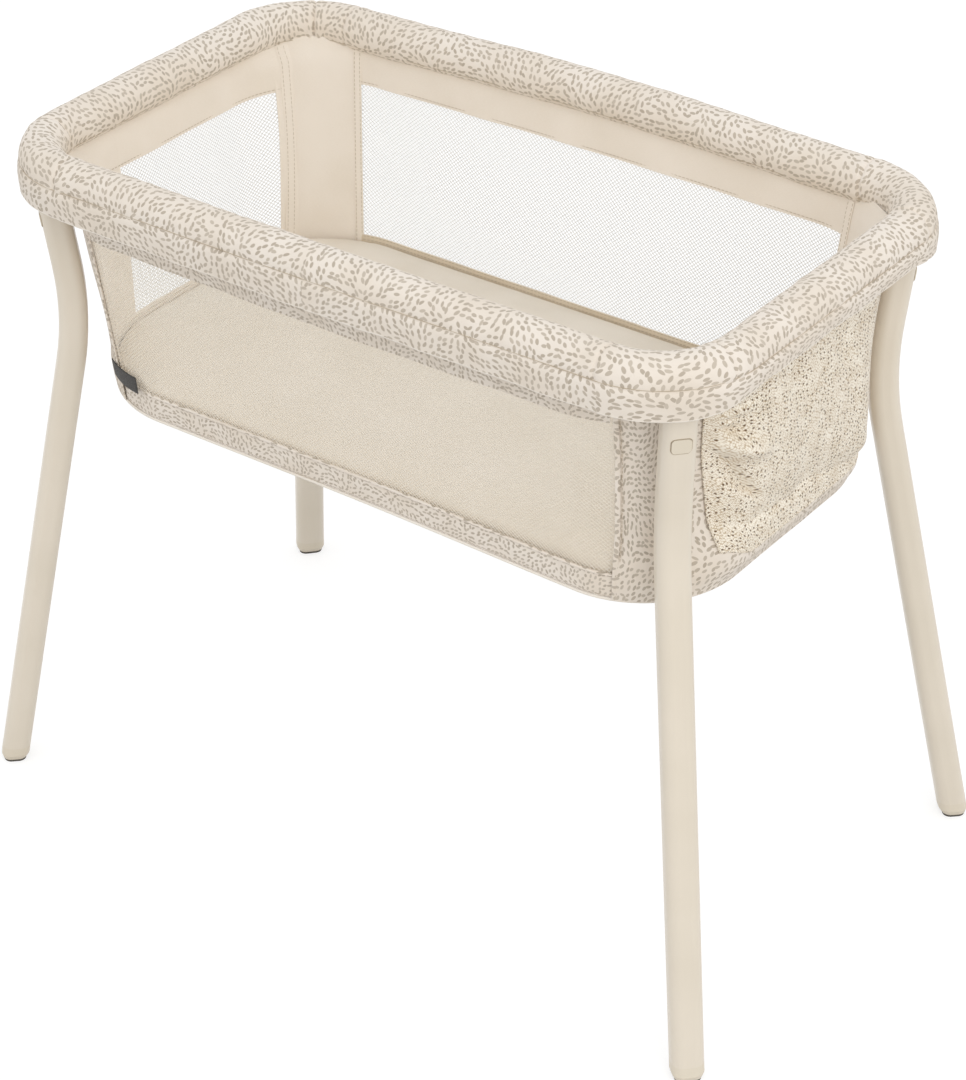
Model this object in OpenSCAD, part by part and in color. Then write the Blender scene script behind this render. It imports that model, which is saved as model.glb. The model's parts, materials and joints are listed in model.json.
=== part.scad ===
/* [Rim] */
// Half-length of the rim, from the middle to the centreline of an end tube
rim_half_l = 390; // [340:1:440]
// Half-width of the rim, from the middle to the centreline of a side tube
rim_half_w = 218; // [190:1:250]
// Corner radius of the rim's centreline
rim_corner_r = 80; // [70:1:95]
// Height of the rim's centreline above the floor
rim_z = 709; // [680:1:760]
// Outer diameter of the steel rim tube
rim_tube_d = 22; // [18:0.5:24]
// Wall of the steel rim tube
rim_tube_wall = 1.5; // [1:0.1:2]
// Outer diameter of the moulded corner elbow
elbow_d = 26; // [24:0.5:30]
// Length of the straight sleeve at each end of a corner elbow
elbow_sleeve = 25; // [15:1:35]
// Length of the spigot that plugs into a rim tube
spigot_l = 30; // [20:1:45]
// Outer diameter of the padded rim cover
cover_d = 45; // [42:0.5:50]
// Thickness of the rim cover cloth
cover_t = 1.3; // [1:0.1:2]
// Drop of the cover's hem below the rim's centreline
hem_drop = 31; // [27:1:40]
// Distance from a corner's bend to the cross seam of the cover
cover_seam_run = 10; // [5:1:30]
// Shank diameter of a rivet that holds a rim tube
rivet_d = 4.4; // [3:0.2:5]

/* [Fabric body] */
// Inset of a wall's outer face from the rim's centreline, at the top
wall_inset_top = 6; // [4:0.5:9]
// Inset of a wall's outer face from the rim's centreline, at the bottom
wall_inset_bottom = 26.5; // [22:0.5:30]
// Depth from the rim's centreline to the underside of the floor cover
body_depth = 254; // [247:1:268]
// Rise of the walls' lower edge above the underside of the floor cover
wall_bottom_rise = 15; // [12:1:22]
// Thickness of the wall cloth
wall_t = 2; // [1.5:0.1:3]
// Run of a corner's cloth along the length, from the rim's centreline to its seam
corner_run_l = 106; // [104:1:125]
// Run of a corner's cloth along the width, from the rim's centreline to its seam
corner_run_w = 78; // [77:1:90]
// Fullness of the corner cloth at the rim, 0 straight across and 1 square
corner_fullness_top = 0.4; // [0.3:0.02:0.44]
// Fullness of the corner cloth at the floor
corner_fullness_bottom = 0.25; // [0.22:0.01:0.27]
// Rise of a window's lower edge above the walls' lower edge
window_bottom_rise = 22; // [18:1:45]
// Drop from the rim's centreline to a window's upper edge
window_top_drop = 54; // [48:1:80]
// Solid border beside a window
window_border = 8; // [5:1:20]
// Pitch of the net's diamonds
net_pitch = 44; // [36:1:60]
// Width of a net strand
net_strand = 3.2; // [2:0.2:5]

/* [Floor] */
// Height of the floor cover's side band
band_h = 27; // [20:1:32]
// Corner radius of the floor cover
floor_corner_r = 101; // [95:1:120]
// Radius of the floor cover's lower edge
floor_edge_r = 9; // [4:1:14]
// Thickness of the floor cover cloth
floor_cloth_t = 1.6; // [1:0.1:2.5]
// Thickness of the stiff floor board
board_t = 4; // [3:0.5:8]
// Thickness of the mattress at its edge
mattress_edge_t = 17; // [12:1:25]
// Rise of the mattress from its edge to its middle
mattress_crown = 7; // [3:1:14]
// How far the mattress sides draw in between the corners
mattress_draw = 3; // [0:0.5:6]

/* [Pocket] */
// Distance from the front corner seam to the pocket's front edge
pocket_front_margin = 6; // [3:1:30]
// Distance from the rear corner seam to the pocket's rear edge
pocket_rear_margin = 18; // [3:1:40]
// Rise of the pocket's lower edge above the wall's lower edge
pocket_bottom_rise = 10; // [4:1:40]
// Drop from the rim's centreline to the pocket's mouth
pocket_mouth_drop = 39; // [36:1:90]
// Bulge of the pocket at its fullest
pocket_bulge = 17; // [14:0.5:20]
// Thickness of the pocket's knit
pocket_t = 1.6; // [1:0.1:2.5]

/* [Tag] */
// Width of the blank cloth tag
tag_w = 30; // [20:1:40]
// Height of the blank cloth tag
tag_h = 17; // [10:1:20]
// Thickness of the blank cloth tag
tag_t = 1; // [0.5:0.1:1.5]

/* [Legs] */
// Section of a leg, across its splay
leg_w = 32; // [28:0.5:34]
// Section of a leg, along its splay
leg_d = 29; // [26:0.5:30]
// Corner radius of a leg's section
leg_r = 11; // [7:0.5:12]
// Wall of a leg's tube
leg_wall = 1.6; // [1.4:0.1:2.4]
// Outward lean of a leg's upper part
leg_lean = 7; // [6:0.5:9]
// Outward splay of a leg's lower part
leg_splay = 11.6; // [8:0.1:15]
// Direction of a leg's splay, from the rim's long axis
leg_turn = 42.7; // [38:0.1:48]
// Radius of a leg's knee
knee_r = 350; // [250:5:420]
// Drop from the rim's centreline to the start of the knee
knee_drop = 116; // [105:1:130]
// Drop along a leg from the rim's centreline to the leg's upper end
leg_top_drop = 25; // [24:0.5:30]
// Travel of a leg as it is pulled off its post
leg_travel = 40; // [30:1:42]
// Height of a foot cap, its rubber pad included
foot_h = 18; // [14:1:30]
// Height of the foot cap's plug inside the leg
foot_plug_h = 22; // [12:1:40]
// Thickness of a foot's rubber pad
pad_t = 3; // [2:0.5:5]

/* [Release buttons] */
// Width of a release button
button_w = 18; // [14:0.5:19]
// Height of a release button
button_h = 15; // [12:0.5:18]
// Corner radius of a release button
button_r = 4; // [2:0.5:5]
// Drop along the leg from the rim's centreline to the button's middle
button_drop = 65; // [62:0.5:67]
// How far a button stands proud of its leg
button_proud = 0.5; // [0.2:0.1:1]
// Travel of a button when it is pressed
button_travel = 2.5; // [1.5:0.1:3]
// Width of the lip that keeps a button in its leg
button_lip = 1.5; // [1:0.1:2]
// Thickness of a button's lip, which is curved to the leg's bore
button_lip_t = 3.2; // [2.8:0.1:3.6]
// Depth of the latch nose behind the lip
latch_depth = 1.2; // [0.8:0.1:1.6]
// Outer diameter of a button's coil spring
spring_d = 5; // [4:0.2:5.4]
// Wire diameter of a button's coil spring
spring_wire = 0.7; // [0.5:0.1:0.9]

/* [Clearances] */
// Gap round a piece that slides or lifts
slide_gap = 0.3; // [0.2:0.05:0.5]
// Gap between two pieces that are fixed to each other
seat_gap = 0.2; // [0.1:0.05:0.4]

/* [Hidden] */
$fn = 64;
soft_fn = 32;
overlap = 1;
hair = 0.05;
weld = 0.6;
reach = 1000;

corner_x = rim_half_l - rim_corner_r;
corner_y = rim_half_w - rim_corner_r;
leg_x = corner_x + rim_corner_r * cos(leg_turn);
leg_y = corner_y + rim_corner_r * sin(leg_turn);
cover_r = cover_d / 2;
padding_r = cover_r - cover_t - seat_gap;
padding_bore_r = elbow_d / 2 + seat_gap;
rim_tube_bore = rim_tube_d - 2 * rim_tube_wall;
spigot_d = rim_tube_bore - 2 * seat_gap;
rivet_head_t = 0.8;
rivet_head_d = 1.6 * rivet_d;
rivet_bite = 5;

floor_z = rim_z - body_depth;
wall_bottom_z = floor_z + wall_bottom_rise;
seam_x = rim_half_l - corner_run_l;
seam_y = rim_half_w - corner_run_w;
window_bottom_z = wall_bottom_z + window_bottom_rise;
window_top_z = rim_z - window_top_drop;
pocket_front = seam_y - pocket_front_margin;
pocket_rear = seam_y - pocket_rear_margin;
pocket_bottom_z = wall_bottom_z + pocket_bottom_rise;
pocket_top_z = rim_z - pocket_mouth_drop;
wall_top_z = rim_z - sqrt(pow(cover_r, 2) - pow(wall_inset_top, 2)) - seat_gap;
wall_h = wall_top_z - wall_bottom_z;

band_half_l = rim_half_l - wall_inset_bottom - wall_t - slide_gap;
band_half_w = rim_half_w - wall_inset_bottom - wall_t - slide_gap;
board_z = floor_z + floor_cloth_t + seat_gap;
mattress_z = board_z + board_t + slide_gap;
mattress_margin = 1.5;

post_w = leg_w - 2 * leg_wall - 2 * slide_gap;
post_d = leg_d - 2 * leg_wall - 2 * slide_gap;
post_r = leg_r - leg_wall;
post_drop = leg_top_drop + leg_travel - slide_gap;
latch_space = button_lip_t + latch_depth + button_travel + 2 * slide_gap;
knee_cx = -knee_drop * tan(leg_lean) + knee_r * cos(leg_lean);
knee_cz = rim_z - knee_drop - knee_r * sin(leg_lean);
shin_x = knee_cx - knee_r * cos(leg_splay);
shin_z = knee_cz - knee_r * sin(leg_splay);
foot_x = shin_x + shin_z * tan(leg_splay);
shin_l = shin_z / cos(leg_splay) + leg_d;

// The four corners: front is -Y, left is -X
CORNERS = [["fl", -1, -1], ["fr", 1, -1], ["bl", -1, 1], ["br", 1, 1]];

// Shapes shared by the pieces

module rounded_rect(w, d, r) {
    square([w - 2 * r, d], center = true);
    square([w, d - 2 * r], center = true);
    for (sx = [-1, 1], sy = [-1, 1])
        translate([sx * (w / 2 - r), sy * (d / 2 - r)]) circle(r);
}

// Turns a piece drawn at the rear right corner over to the corner of signs sx and sy
module at_corner(sx, sy) {
    mirror([sx < 0 ? 1 : 0, 0, 0])
        mirror([0, sy < 0 ? 1 : 0, 0])
            children();
}

// Sweeps a profile round a rounded rectangle; the profile's x is measured out from the path
module sweep_round(half_l, half_w, corner_r) {
    side_l = 2 * (half_l - corner_r);
    side_w = 2 * (half_w - corner_r);
    for (s = [0, 1]) {
        mirror([0, s, 0]) rotate([90, 0, 90])
            linear_extrude(side_l, center = true) translate([half_w, 0]) children();
        mirror([s, 0, 0]) rotate([90, 0, 0])
            linear_extrude(side_w, center = true) translate([half_l, 0]) children();
    }
    for (sx = [-1, 1], sy = [-1, 1])
        at_corner(sx, sy) translate([half_l - corner_r, half_w - corner_r])
            rotate_extrude(angle = 90) translate([corner_r, 0]) children();
}

// A closed sheet between two grids of points, both with the same rows and columns
module sheet(front, back) {
    rows = len(front);
    cols = len(front[0]);
    count = rows * cols;
    function at(j, i) = j * cols + i;
    function back_at(j, i) = count + at(j, i);
    function quad(a, b, c, d) = [[a, b, c], [a, c, d]];
    points = concat([for (row = front) each row], [for (row = back) each row]);
    faces = concat(
        [for (j = [0:rows - 2], i = [0:cols - 2])
            each quad(at(j, i), at(j + 1, i), at(j + 1, i + 1), at(j, i + 1))],
        [for (j = [0:rows - 2], i = [0:cols - 2])
            each quad(back_at(j, i), back_at(j, i + 1), back_at(j + 1, i + 1), back_at(j + 1, i))],
        [for (i = [0:cols - 2]) each quad(at(0, i), at(0, i + 1), back_at(0, i + 1), back_at(0, i))],
        [for (i = [0:cols - 2])
            each quad(at(rows - 1, i + 1), at(rows - 1, i), back_at(rows - 1, i), back_at(rows - 1, i + 1))],
        [for (j = [0:rows - 2]) each quad(at(j + 1, 0), at(j, 0), back_at(j, 0), back_at(j + 1, 0))],
        [for (j = [0:rows - 2])
            each quad(at(j, cols - 1), at(j + 1, cols - 1), back_at(j + 1, cols - 1), back_at(j, cols - 1))]
    );
    polyhedron(points, faces);
}

// Rim

module rail(length) {
    rotate([0, 90, 0]) difference() {
        cylinder(h = length, d = rim_tube_d, center = true);
        cylinder(h = length + overlap, d = rim_tube_bore, center = true);
    }
}

// The rivets of one rail, or their holes where grow is above zero
module rivets(length, grow = 0) {
    for (s = [-1, 1])
        translate([s * (length - spigot_l) / 2, 0, -rim_tube_d / 2 - rivet_head_t]) {
            cylinder(h = rivet_head_t + rivet_bite, d = rivet_d + 2 * grow);
            if (grow == 0)
                cylinder(h = rivet_head_t, d = rivet_head_d);
        }
}

rail_l = 2 * (corner_x - elbow_sleeve - seat_gap);
rail_w = 2 * (corner_y - elbow_sleeve - seat_gap);
rivet_gap = 0.1;

module long_rail(sy) {
    color("silver") translate([0, sy * rim_half_w, rim_z]) difference() {
        rail(rail_l);
        rivets(rail_l, rivet_gap);
    }
}

module end_rail(sx) {
    color("silver") translate([sx * rim_half_l, 0, rim_z]) rotate([0, 0, 90]) difference() {
        rail(rail_w);
        rivets(rail_w, rivet_gap);
    }
}

module rail_front() long_rail(-1);
module rail_back() long_rail(1);
module rail_left() end_rail(-1);
module rail_right() end_rail(1);

module all_rivets(grow = 0) {
    for (s = [-1, 1]) {
        translate([0, s * rim_half_w, rim_z]) rivets(rail_l, grow);
        translate([s * rim_half_l, 0, rim_z]) rotate([0, 0, 90]) rivets(rail_w, grow);
    }
}

module rail_rivets() color("gray") all_rivets();

// The upper leg's own frame: x points out of the leg, z runs up the leg to the rim's centreline
module leg_top_frame() {
    translate([leg_x, leg_y, rim_z]) rotate([0, 0, leg_turn]) rotate([0, leg_lean, 0]) children();
}

// The collar that a leg seats against, as wide as the leg
module collar(grow = 0) {
    leg_top_frame() translate([0, 0, seat_gap - leg_top_drop])
        linear_extrude(leg_top_drop - seat_gap)
            rounded_rect(leg_d + 2 * grow, leg_w + 2 * grow, leg_r + grow);
}

module post() {
    channel_w = button_w + 2 * button_lip + 4 * slide_gap;
    channel_top = button_drop - button_h / 2 - button_lip - 2 * slide_gap;
    leg_top_frame() difference() {
        translate([0, 0, -post_drop]) linear_extrude(post_drop) rounded_rect(post_d, post_w, post_r);
        translate([post_d / 2 - latch_space, -channel_w / 2, -post_drop - overlap])
            cube([latch_space + overlap, channel_w, post_drop - channel_top + overlap]);
    }
}

module corner_elbow(sx, sy) {
    sleeve_end = elbow_sleeve + spigot_l;
    color("gainsboro") difference() {
        at_corner(sx, sy) {
            translate([corner_x, corner_y, rim_z]) {
                rotate_extrude(angle = 90) translate([rim_corner_r, 0]) circle(d = elbow_d);
                translate([rim_corner_r, 0, 0]) rotate([90, 0, 0]) {
                    cylinder(h = elbow_sleeve, d = elbow_d);
                    cylinder(h = sleeve_end, d = spigot_d);
                }
                translate([0, rim_corner_r, 0]) rotate([0, -90, 0]) {
                    cylinder(h = elbow_sleeve, d = elbow_d);
                    cylinder(h = sleeve_end, d = spigot_d);
                }
            }
            collar();
            post();
        }
        all_rivets(rivet_gap);
    }
}

module corner_elbow_fl() corner_elbow(-1, -1);
module corner_elbow_fr() corner_elbow(1, -1);
module corner_elbow_bl() corner_elbow(-1, 1);
module corner_elbow_br() corner_elbow(1, 1);

module collar_holes() {
    for (c = CORNERS) at_corner(c[1], c[2]) collar(seat_gap);
}

module rim_padding() {
    color("white") difference() {
        sweep_round(rim_half_l, rim_half_w, rim_corner_r) translate([0, rim_z]) difference() {
            circle(padding_r);
            circle(padding_bore_r);
        }
        collar_holes();
    }
}

module rim_cover() {
    color("antiquewhite") difference() {
        sweep_round(rim_half_l, rim_half_w, rim_corner_r) translate([0, rim_z]) difference() {
            union() {
                circle(cover_r);
                translate([cover_r - cover_t, -hem_drop]) square([cover_t, hem_drop]);
            }
            circle(cover_r - cover_t);
        }
        collar_holes();
        cross_seams();
    }
}

// Where the cover's straight and corner pieces are sewn together
module cross_seams() {
    for (s = [-1, 1]) {
        translate([s * (corner_x - cover_seam_run), 0, rim_z]) cube([seat_gap, reach, reach], center = true);
        translate([0, s * (corner_y - cover_seam_run), rim_z]) cube([reach, seat_gap, reach], center = true);
    }
}

// Walls of the fabric body

// Half-size of a wall's outer face at height z, from the rim's half-size
function wall_half(rim_half, z) =
    rim_half - wall_inset_top
    - (wall_inset_bottom - wall_inset_top) * (wall_top_z - z) / wall_h;

module wall_profile(rim_half) {
    low = wall_half(rim_half, wall_bottom_z);
    high = wall_half(rim_half, wall_top_z);
    polygon([
        [low, wall_bottom_z], [high, wall_top_z],
        [high - wall_t, wall_top_z], [low - wall_t, wall_bottom_z]
    ]);
}

// Diamond gaps of a net, cut off at the window's edge
module net_gaps(width) {
    height = window_top_z - window_bottom_z;
    mid_z = (window_top_z + window_bottom_z) / 2;
    gap = net_pitch / 2 - net_strand / sqrt(2);
    cols = ceil(width / net_pitch / 2);
    rows = ceil(height / net_pitch / 2);
    translate([0, mid_z]) intersection() {
        square([width, height], center = true);
        for (i = [-2 * cols:2 * cols], j = [-2 * rows:2 * rows])
            if ((i + j) % 2 == 0
                    && abs(i) * net_pitch / 2 < width / 2 + gap / 2
                    && abs(j) * net_pitch / 2 < height / 2 + gap / 2)
                translate([i, j] * net_pitch / 2)
                    polygon([[gap, 0], [0, gap], [-gap, 0], [0, -gap]]);
    }
}

module long_wall(sy) {
    mirror([0, sy < 0 ? 1 : 0, 0]) difference() {
        rotate([90, 0, 90]) linear_extrude(2 * (seam_x - seat_gap), center = true) wall_profile(rim_half_w);
        rotate([90, 0, 0]) linear_extrude(reach, center = true) net_gaps(2 * (seam_x - window_border));
    }
}

module end_wall() {
    rotate([90, 0, 0]) linear_extrude(2 * (seam_y - seat_gap), center = true) wall_profile(rim_half_l);
}

module mesh_front() color("linen") long_wall(-1);
module mesh_back() color("linen") long_wall(1);

module mesh_left() {
    color("linen") mirror([1, 0, 0]) difference() {
        end_wall();
        rotate([90, 0, 90]) linear_extrude(reach, center = true) net_gaps(2 * (seam_y - window_border));
    }
}

module end_panel() color("antiquewhite") end_wall();

// Cloth across a corner: at each height it runs from seam to seam, drawn in between them
corner_cols = 12;
corner_rows = 10;

function bend(a, b, c, t) = a * pow(1 - t, 2) + b * 2 * t * (1 - t) + c * pow(t, 2);
function fullness(h) = corner_fullness_top * pow(h, 3) + corner_fullness_bottom * pow(1 - h, 3);

// Distance of a plan point from the rim's centreline, near the rear right corner
function rim_offset(p) =
    let (q = p - [corner_x, corner_y])
    q[0] < 0 ? rim_corner_r - q[1]
    : q[1] < 0 ? rim_corner_r - q[0]
    : rim_corner_r - norm(q);

// Height at which cloth at a plan point meets the underside of the padded roll
roll_tuck = 9;
function roll_z(p) =
    let (under = pow(cover_r + 2 * seat_gap, 2) - pow(rim_offset(p), 2))
    rim_z - max(roll_tuck, sqrt(max(0, under)));

function corner_path(h, inset) =
    let (z = wall_bottom_z + h * wall_h,
        x = wall_half(rim_half_l, z) - inset,
        y = wall_half(rim_half_w, z) - inset,
        start = [seam_x + seat_gap, y],
        end = [x, seam_y + seat_gap],
        pull = (start + end) / 2 * (1 - fullness(h)) + [x, y] * fullness(h))
    [for (i = [0:corner_cols]) bend(start, pull, end, i / corner_cols)];

top_heights = [for (p = corner_path(1, 0)) roll_z(p)];

function corner_row(h, inset) =
    let (path = corner_path(h, inset))
    [for (i = [0:corner_cols])
        [path[i][0], path[i][1], wall_bottom_z + h * (top_heights[i] - wall_bottom_z)]];

module corner_panel(sx, sy) {
    color("wheat") at_corner(sx, sy) sheet(
        [for (j = [0:corner_rows]) corner_row(j / corner_rows, 0)],
        [for (j = [0:corner_rows]) corner_row(j / corner_rows, wall_t)]
    );
}

module corner_panel_fl() corner_panel(-1, -1);
module corner_panel_fr() corner_panel(1, -1);
module corner_panel_bl() corner_panel(-1, 1);
module corner_panel_br() corner_panel(1, 1);

// Knit pocket on the right end: sewn down at its sides and foot, open at its mouth
pocket_cols = 18;
pocket_rows = 12;
pocket_full_h = 0.45;
pocket_mouth_loss = 0.35;

// Rise off the wall at share u of the width and share h of the height
function pocket_rise(u, h) =
    pocket_bulge * sqrt(max(0, 1 - pow(2 * u - 1, 4))) * sin(90 * min(1, h / pocket_full_h))
    * (1 - pocket_mouth_loss * pow(h, 3));

function pocket_row(h, lift) =
    [for (i = [0:pocket_cols])
        let (u = i / pocket_cols,
            z = pocket_bottom_z + h * (pocket_top_z - pocket_bottom_z),
            y = -pocket_front + u * (pocket_front + pocket_rear))
        [wall_half(rim_half_l, z) + seat_gap + pocket_rise(u, h) + lift, y, z]];

module pocket() {
    color("tan") sheet(
        [for (j = [0:pocket_rows]) pocket_row(j / pocket_rows, 0)],
        [for (j = [0:pocket_rows]) pocket_row(j / pocket_rows, pocket_t)]
    );
}

module blank_tag() {
    low_z = window_bottom_z - window_border;
    slant = (wall_inset_bottom - wall_inset_top) / wall_h;
    low = wall_half(rim_half_w, low_z) + seat_gap;
    high = low + slant * tag_h;
    color("dimgray") translate([window_border - seam_x - overlap, 0, 0]) mirror([0, 1, 0]) rotate([90, 0, 90])
        linear_extrude(tag_w)
            polygon([
                [low, low_z], [low + tag_t, low_z],
                [high + tag_t, low_z + tag_h], [high, low_z + tag_h]
            ]);
}

// Floor and mattress

module floor_plate(margin, thickness) {
    linear_extrude(thickness)
        rounded_rect(2 * (band_half_l - margin), 2 * (band_half_w - margin), floor_corner_r - margin);
}

module floor_cover() {
    color("antiquewhite") {
        translate([0, 0, floor_z]) floor_plate(floor_edge_r + overlap, floor_cloth_t);
        sweep_round(band_half_l, band_half_w, floor_corner_r) translate([0, floor_z]) {
            translate([-floor_edge_r - 2 * overlap, 0]) square([2 * overlap, floor_cloth_t]);
            translate([-floor_cloth_t, floor_edge_r]) square([floor_cloth_t, band_h - floor_edge_r]);
            translate([-floor_edge_r, floor_edge_r]) intersection() {
                translate([0, -floor_edge_r]) square(floor_edge_r);
                difference() {
                    circle(floor_edge_r);
                    circle(floor_edge_r - floor_cloth_t);
                }
            }
        }
    }
}

module floor_board() {
    color("burlywood") translate([0, 0, board_z]) floor_plate(floor_edge_r, board_t);
}

// Mattress outline: a rounded rectangle whose long and short sides draw in a little
mattress_arc_steps = 8;
mattress_side_steps = 6;
mattress_rings = 5;
mattress_half_l = band_half_l - floor_cloth_t - mattress_margin;
mattress_half_w = band_half_w - floor_cloth_t - mattress_margin;
mattress_corner_r = floor_corner_r - floor_cloth_t - mattress_margin;

// One side's points and the arc after it, for a side that runs along +Y at x = a
function outline_quarter(a, b, turn) =
    let (r = mattress_corner_r, n = mattress_side_steps)
    concat(
        [for (i = [0:n - 1]) let (v = 2 * i / n - 1)
            turned([a - mattress_draw * (1 - pow(v, 2)), v * (b - r)], turn)],
        [for (i = [0:mattress_arc_steps - 1]) let (t = 90 * i / mattress_arc_steps)
            turned([a - r + r * cos(t), b - r + r * sin(t)], turn)]
    );

function turned(p, turn) = [p[0] * cos(turn) - p[1] * sin(turn), p[0] * sin(turn) + p[1] * cos(turn)];

mattress_outline = concat(
    outline_quarter(mattress_half_l, mattress_half_w, 0),
    outline_quarter(mattress_half_w, mattress_half_l, 90),
    outline_quarter(mattress_half_l, mattress_half_w, 180),
    outline_quarter(mattress_half_w, mattress_half_l, 270)
);

// Round of the mattress's edge: shares of its half-size and of its edge thickness
mattress_round = [[0.96, 0], [0.985, 0.18], [1, 0.5], [0.985, 0.85], [0.955, 1]];

// Half of the mattress's section, from the rim of the underside towards the middle of the top
function mattress_section() =
    let (last = mattress_round[len(mattress_round) - 1][0])
    concat(
        [for (p = mattress_round) [p[0], p[1] * mattress_edge_t]],
        [for (k = [1:mattress_rings])
            let (f = 1 - k / (mattress_rings + 1))
            [last * f, mattress_edge_t + mattress_crown * (1 - pow(f, 3))]]
    );

module mattress() {
    section = mattress_section();
    rows = len(section);
    n = len(mattress_outline);
    ring_points = [for (row = section, p = mattress_outline)
        [p[0] * row[0], p[1] * row[0], mattress_z + row[1]]];
    bottom = rows * n;
    top = bottom + 1;
    points = concat(ring_points,
        [[0, 0, mattress_z], [0, 0, mattress_z + mattress_edge_t + mattress_crown]]);
    function at(j, i) = j * n + i % n;
    faces = concat(
        [for (j = [0:rows - 2], i = [0:n - 1])
            each [[at(j, i), at(j + 1, i), at(j + 1, i + 1)], [at(j, i), at(j + 1, i + 1), at(j, i + 1)]]],
        [for (i = [0:n - 1]) [bottom, at(0, i), at(0, i + 1)]],
        [for (i = [0:n - 1]) [top, at(rows - 1, i + 1), at(rows - 1, i)]]
    );
    color("cornsilk") polyhedron(points, faces);
}

// Legs

// Sweeps a leg's section, or the ring between two sections, along top, knee and shin.
// The straight parts are a hair thinner than the knee and end inside its wall.
module leg_sweep(grow = 0, bore = undef) {
    knee_start = knee_drop / cos(leg_lean);
    translate([0, 0, rim_z]) rotate([0, leg_lean, 0]) translate([0, 0, -knee_start - weld])
        linear_extrude(knee_start - leg_top_drop + weld) leg_ring(grow - hair, bore, hair);
    translate([knee_cx, 0, knee_cz]) rotate([90, 0, 0]) rotate([0, 0, 180 - leg_lean])
        rotate_extrude(angle = leg_lean + leg_splay, $fn = 720) translate([knee_r, 0])
            leg_ring(grow, bore, 0);
    translate([shin_x, 0, shin_z]) rotate([0, -leg_splay, 0]) translate([0, 0, -shin_l])
        linear_extrude(shin_l + weld) leg_ring(grow - hair, bore, hair);
}

module leg_section(grow) {
    rounded_rect(leg_d + 2 * grow, leg_w + 2 * grow, leg_r + grow, $fn = 64);
}

module leg_ring(grow, bore, thin) {
    difference() {
        leg_section(grow);
        if (bore != undef)
            leg_section(bore + thin);
    }
}

// A leg's frame at its corner: x points the way the leg splays
module leg_frame(sx, sy) {
    at_corner(sx, sy) translate([leg_x, leg_y, 0]) rotate([0, 0, leg_turn]) children();
}

// Rounded block through a leg's outer face, centred on the release button
module button_block(w, h, r, from_x, to_x) {
    translate([from_x, 0, -button_drop]) rotate([0, 90, 0])
        linear_extrude(to_x - from_x) rounded_rect(h, w, r);
}

module leg(sx, sy) {
    inner_face = leg_d / 2 - leg_wall;
    color("bisque") leg_frame(sx, sy) difference() {
        leg_sweep(0, -leg_wall);
        translate([0, 0, foot_h - reach / 2]) cube([reach, reach, reach], center = true);
        translate([0, 0, rim_z]) rotate([0, leg_lean, 0])
            button_block(button_w + 2 * slide_gap, button_h + 2 * slide_gap, button_r + slide_gap,
                inner_face - overlap, leg_d / 2 + overlap);
    }
}

module foot_cap(sx, sy) {
    round_h = 5;
    round_in = 2;
    color("bisque") leg_frame(sx, sy) {
        intersection() {
            leg_sweep();
            translate([0, 0, pad_t + round_h]) linear_extrude(foot_h - pad_t - round_h)
                square(reach, center = true);
        }
        intersection() {
            leg_sweep(-leg_wall - seat_gap);
            translate([0, 0, foot_h - overlap]) linear_extrude(foot_plug_h + overlap)
                square(reach, center = true);
        }
        hull() {
            translate([foot_x - (pad_t + round_h) * tan(leg_splay), 0, pad_t + round_h - 0.01])
                linear_extrude(0.01) rounded_rect(leg_d / cos(leg_splay), leg_w, leg_r, $fn = soft_fn);
            translate([foot_x - pad_t * tan(leg_splay), 0, pad_t]) linear_extrude(0.01)
                rounded_rect(leg_d - 2 * round_in, leg_w - 2 * round_in, leg_r - round_in, $fn = soft_fn);
        }
    }
}

module foot_pad(sx, sy) {
    inset = 3;
    color("gray") leg_frame(sx, sy) translate([foot_x - pad_t * tan(leg_splay), 0, 0])
        linear_extrude(pad_t) rounded_rect(leg_d - 2 * inset, leg_w - 2 * inset, leg_r - inset);
}

// Release button: a face in the leg's window, a lip behind it and the latch nose
module release_button(sx, sy) {
    lip_x = leg_d / 2 - leg_wall - slide_gap;
    lip_back = lip_x - button_lip_t;
    nose_h = button_h / 2 - button_lip;
    nose_w = button_w / 2;
    color("bisque") leg_frame(sx, sy) translate([0, 0, rim_z]) rotate([0, leg_lean, 0]) {
        button_block(button_w, button_h, button_r, lip_back + overlap / 2, leg_d / 2 + button_proud);
        intersection() {
            button_block(button_w + 2 * button_lip, button_h + 2 * button_lip, button_r + button_lip,
                lip_back, lip_x + overlap);
            translate([0, 0, -button_drop - button_h]) linear_extrude(2 * button_h)
                leg_section(-leg_wall - slide_gap);
        }
        translate([lip_back - latch_depth, -nose_w / 2, -button_drop + button_lip])
            cube([latch_depth + button_lip_t / 2, nose_w, nose_h]);
    }
}

// Coil spring between a button's lip and the far wall of its leg
module button_spring(sx, sy) {
    far_x = -leg_d / 2 + leg_wall + seat_gap;
    near_x = leg_d / 2 - leg_wall - slide_gap - button_lip_t - seat_gap;
    drop = post_drop + spring_d / 2 + 2 * slide_gap;
    color("silver") leg_frame(sx, sy) translate([0, 0, rim_z]) rotate([0, leg_lean, 0])
        translate([far_x, 0, -drop]) rotate([0, 90, 0]) difference() {
            cylinder(h = near_x - far_x, d = spring_d);
            translate([0, 0, -overlap])
                cylinder(h = near_x - far_x + 2 * overlap, d = spring_d - 2 * spring_wire);
        }
}

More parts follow.
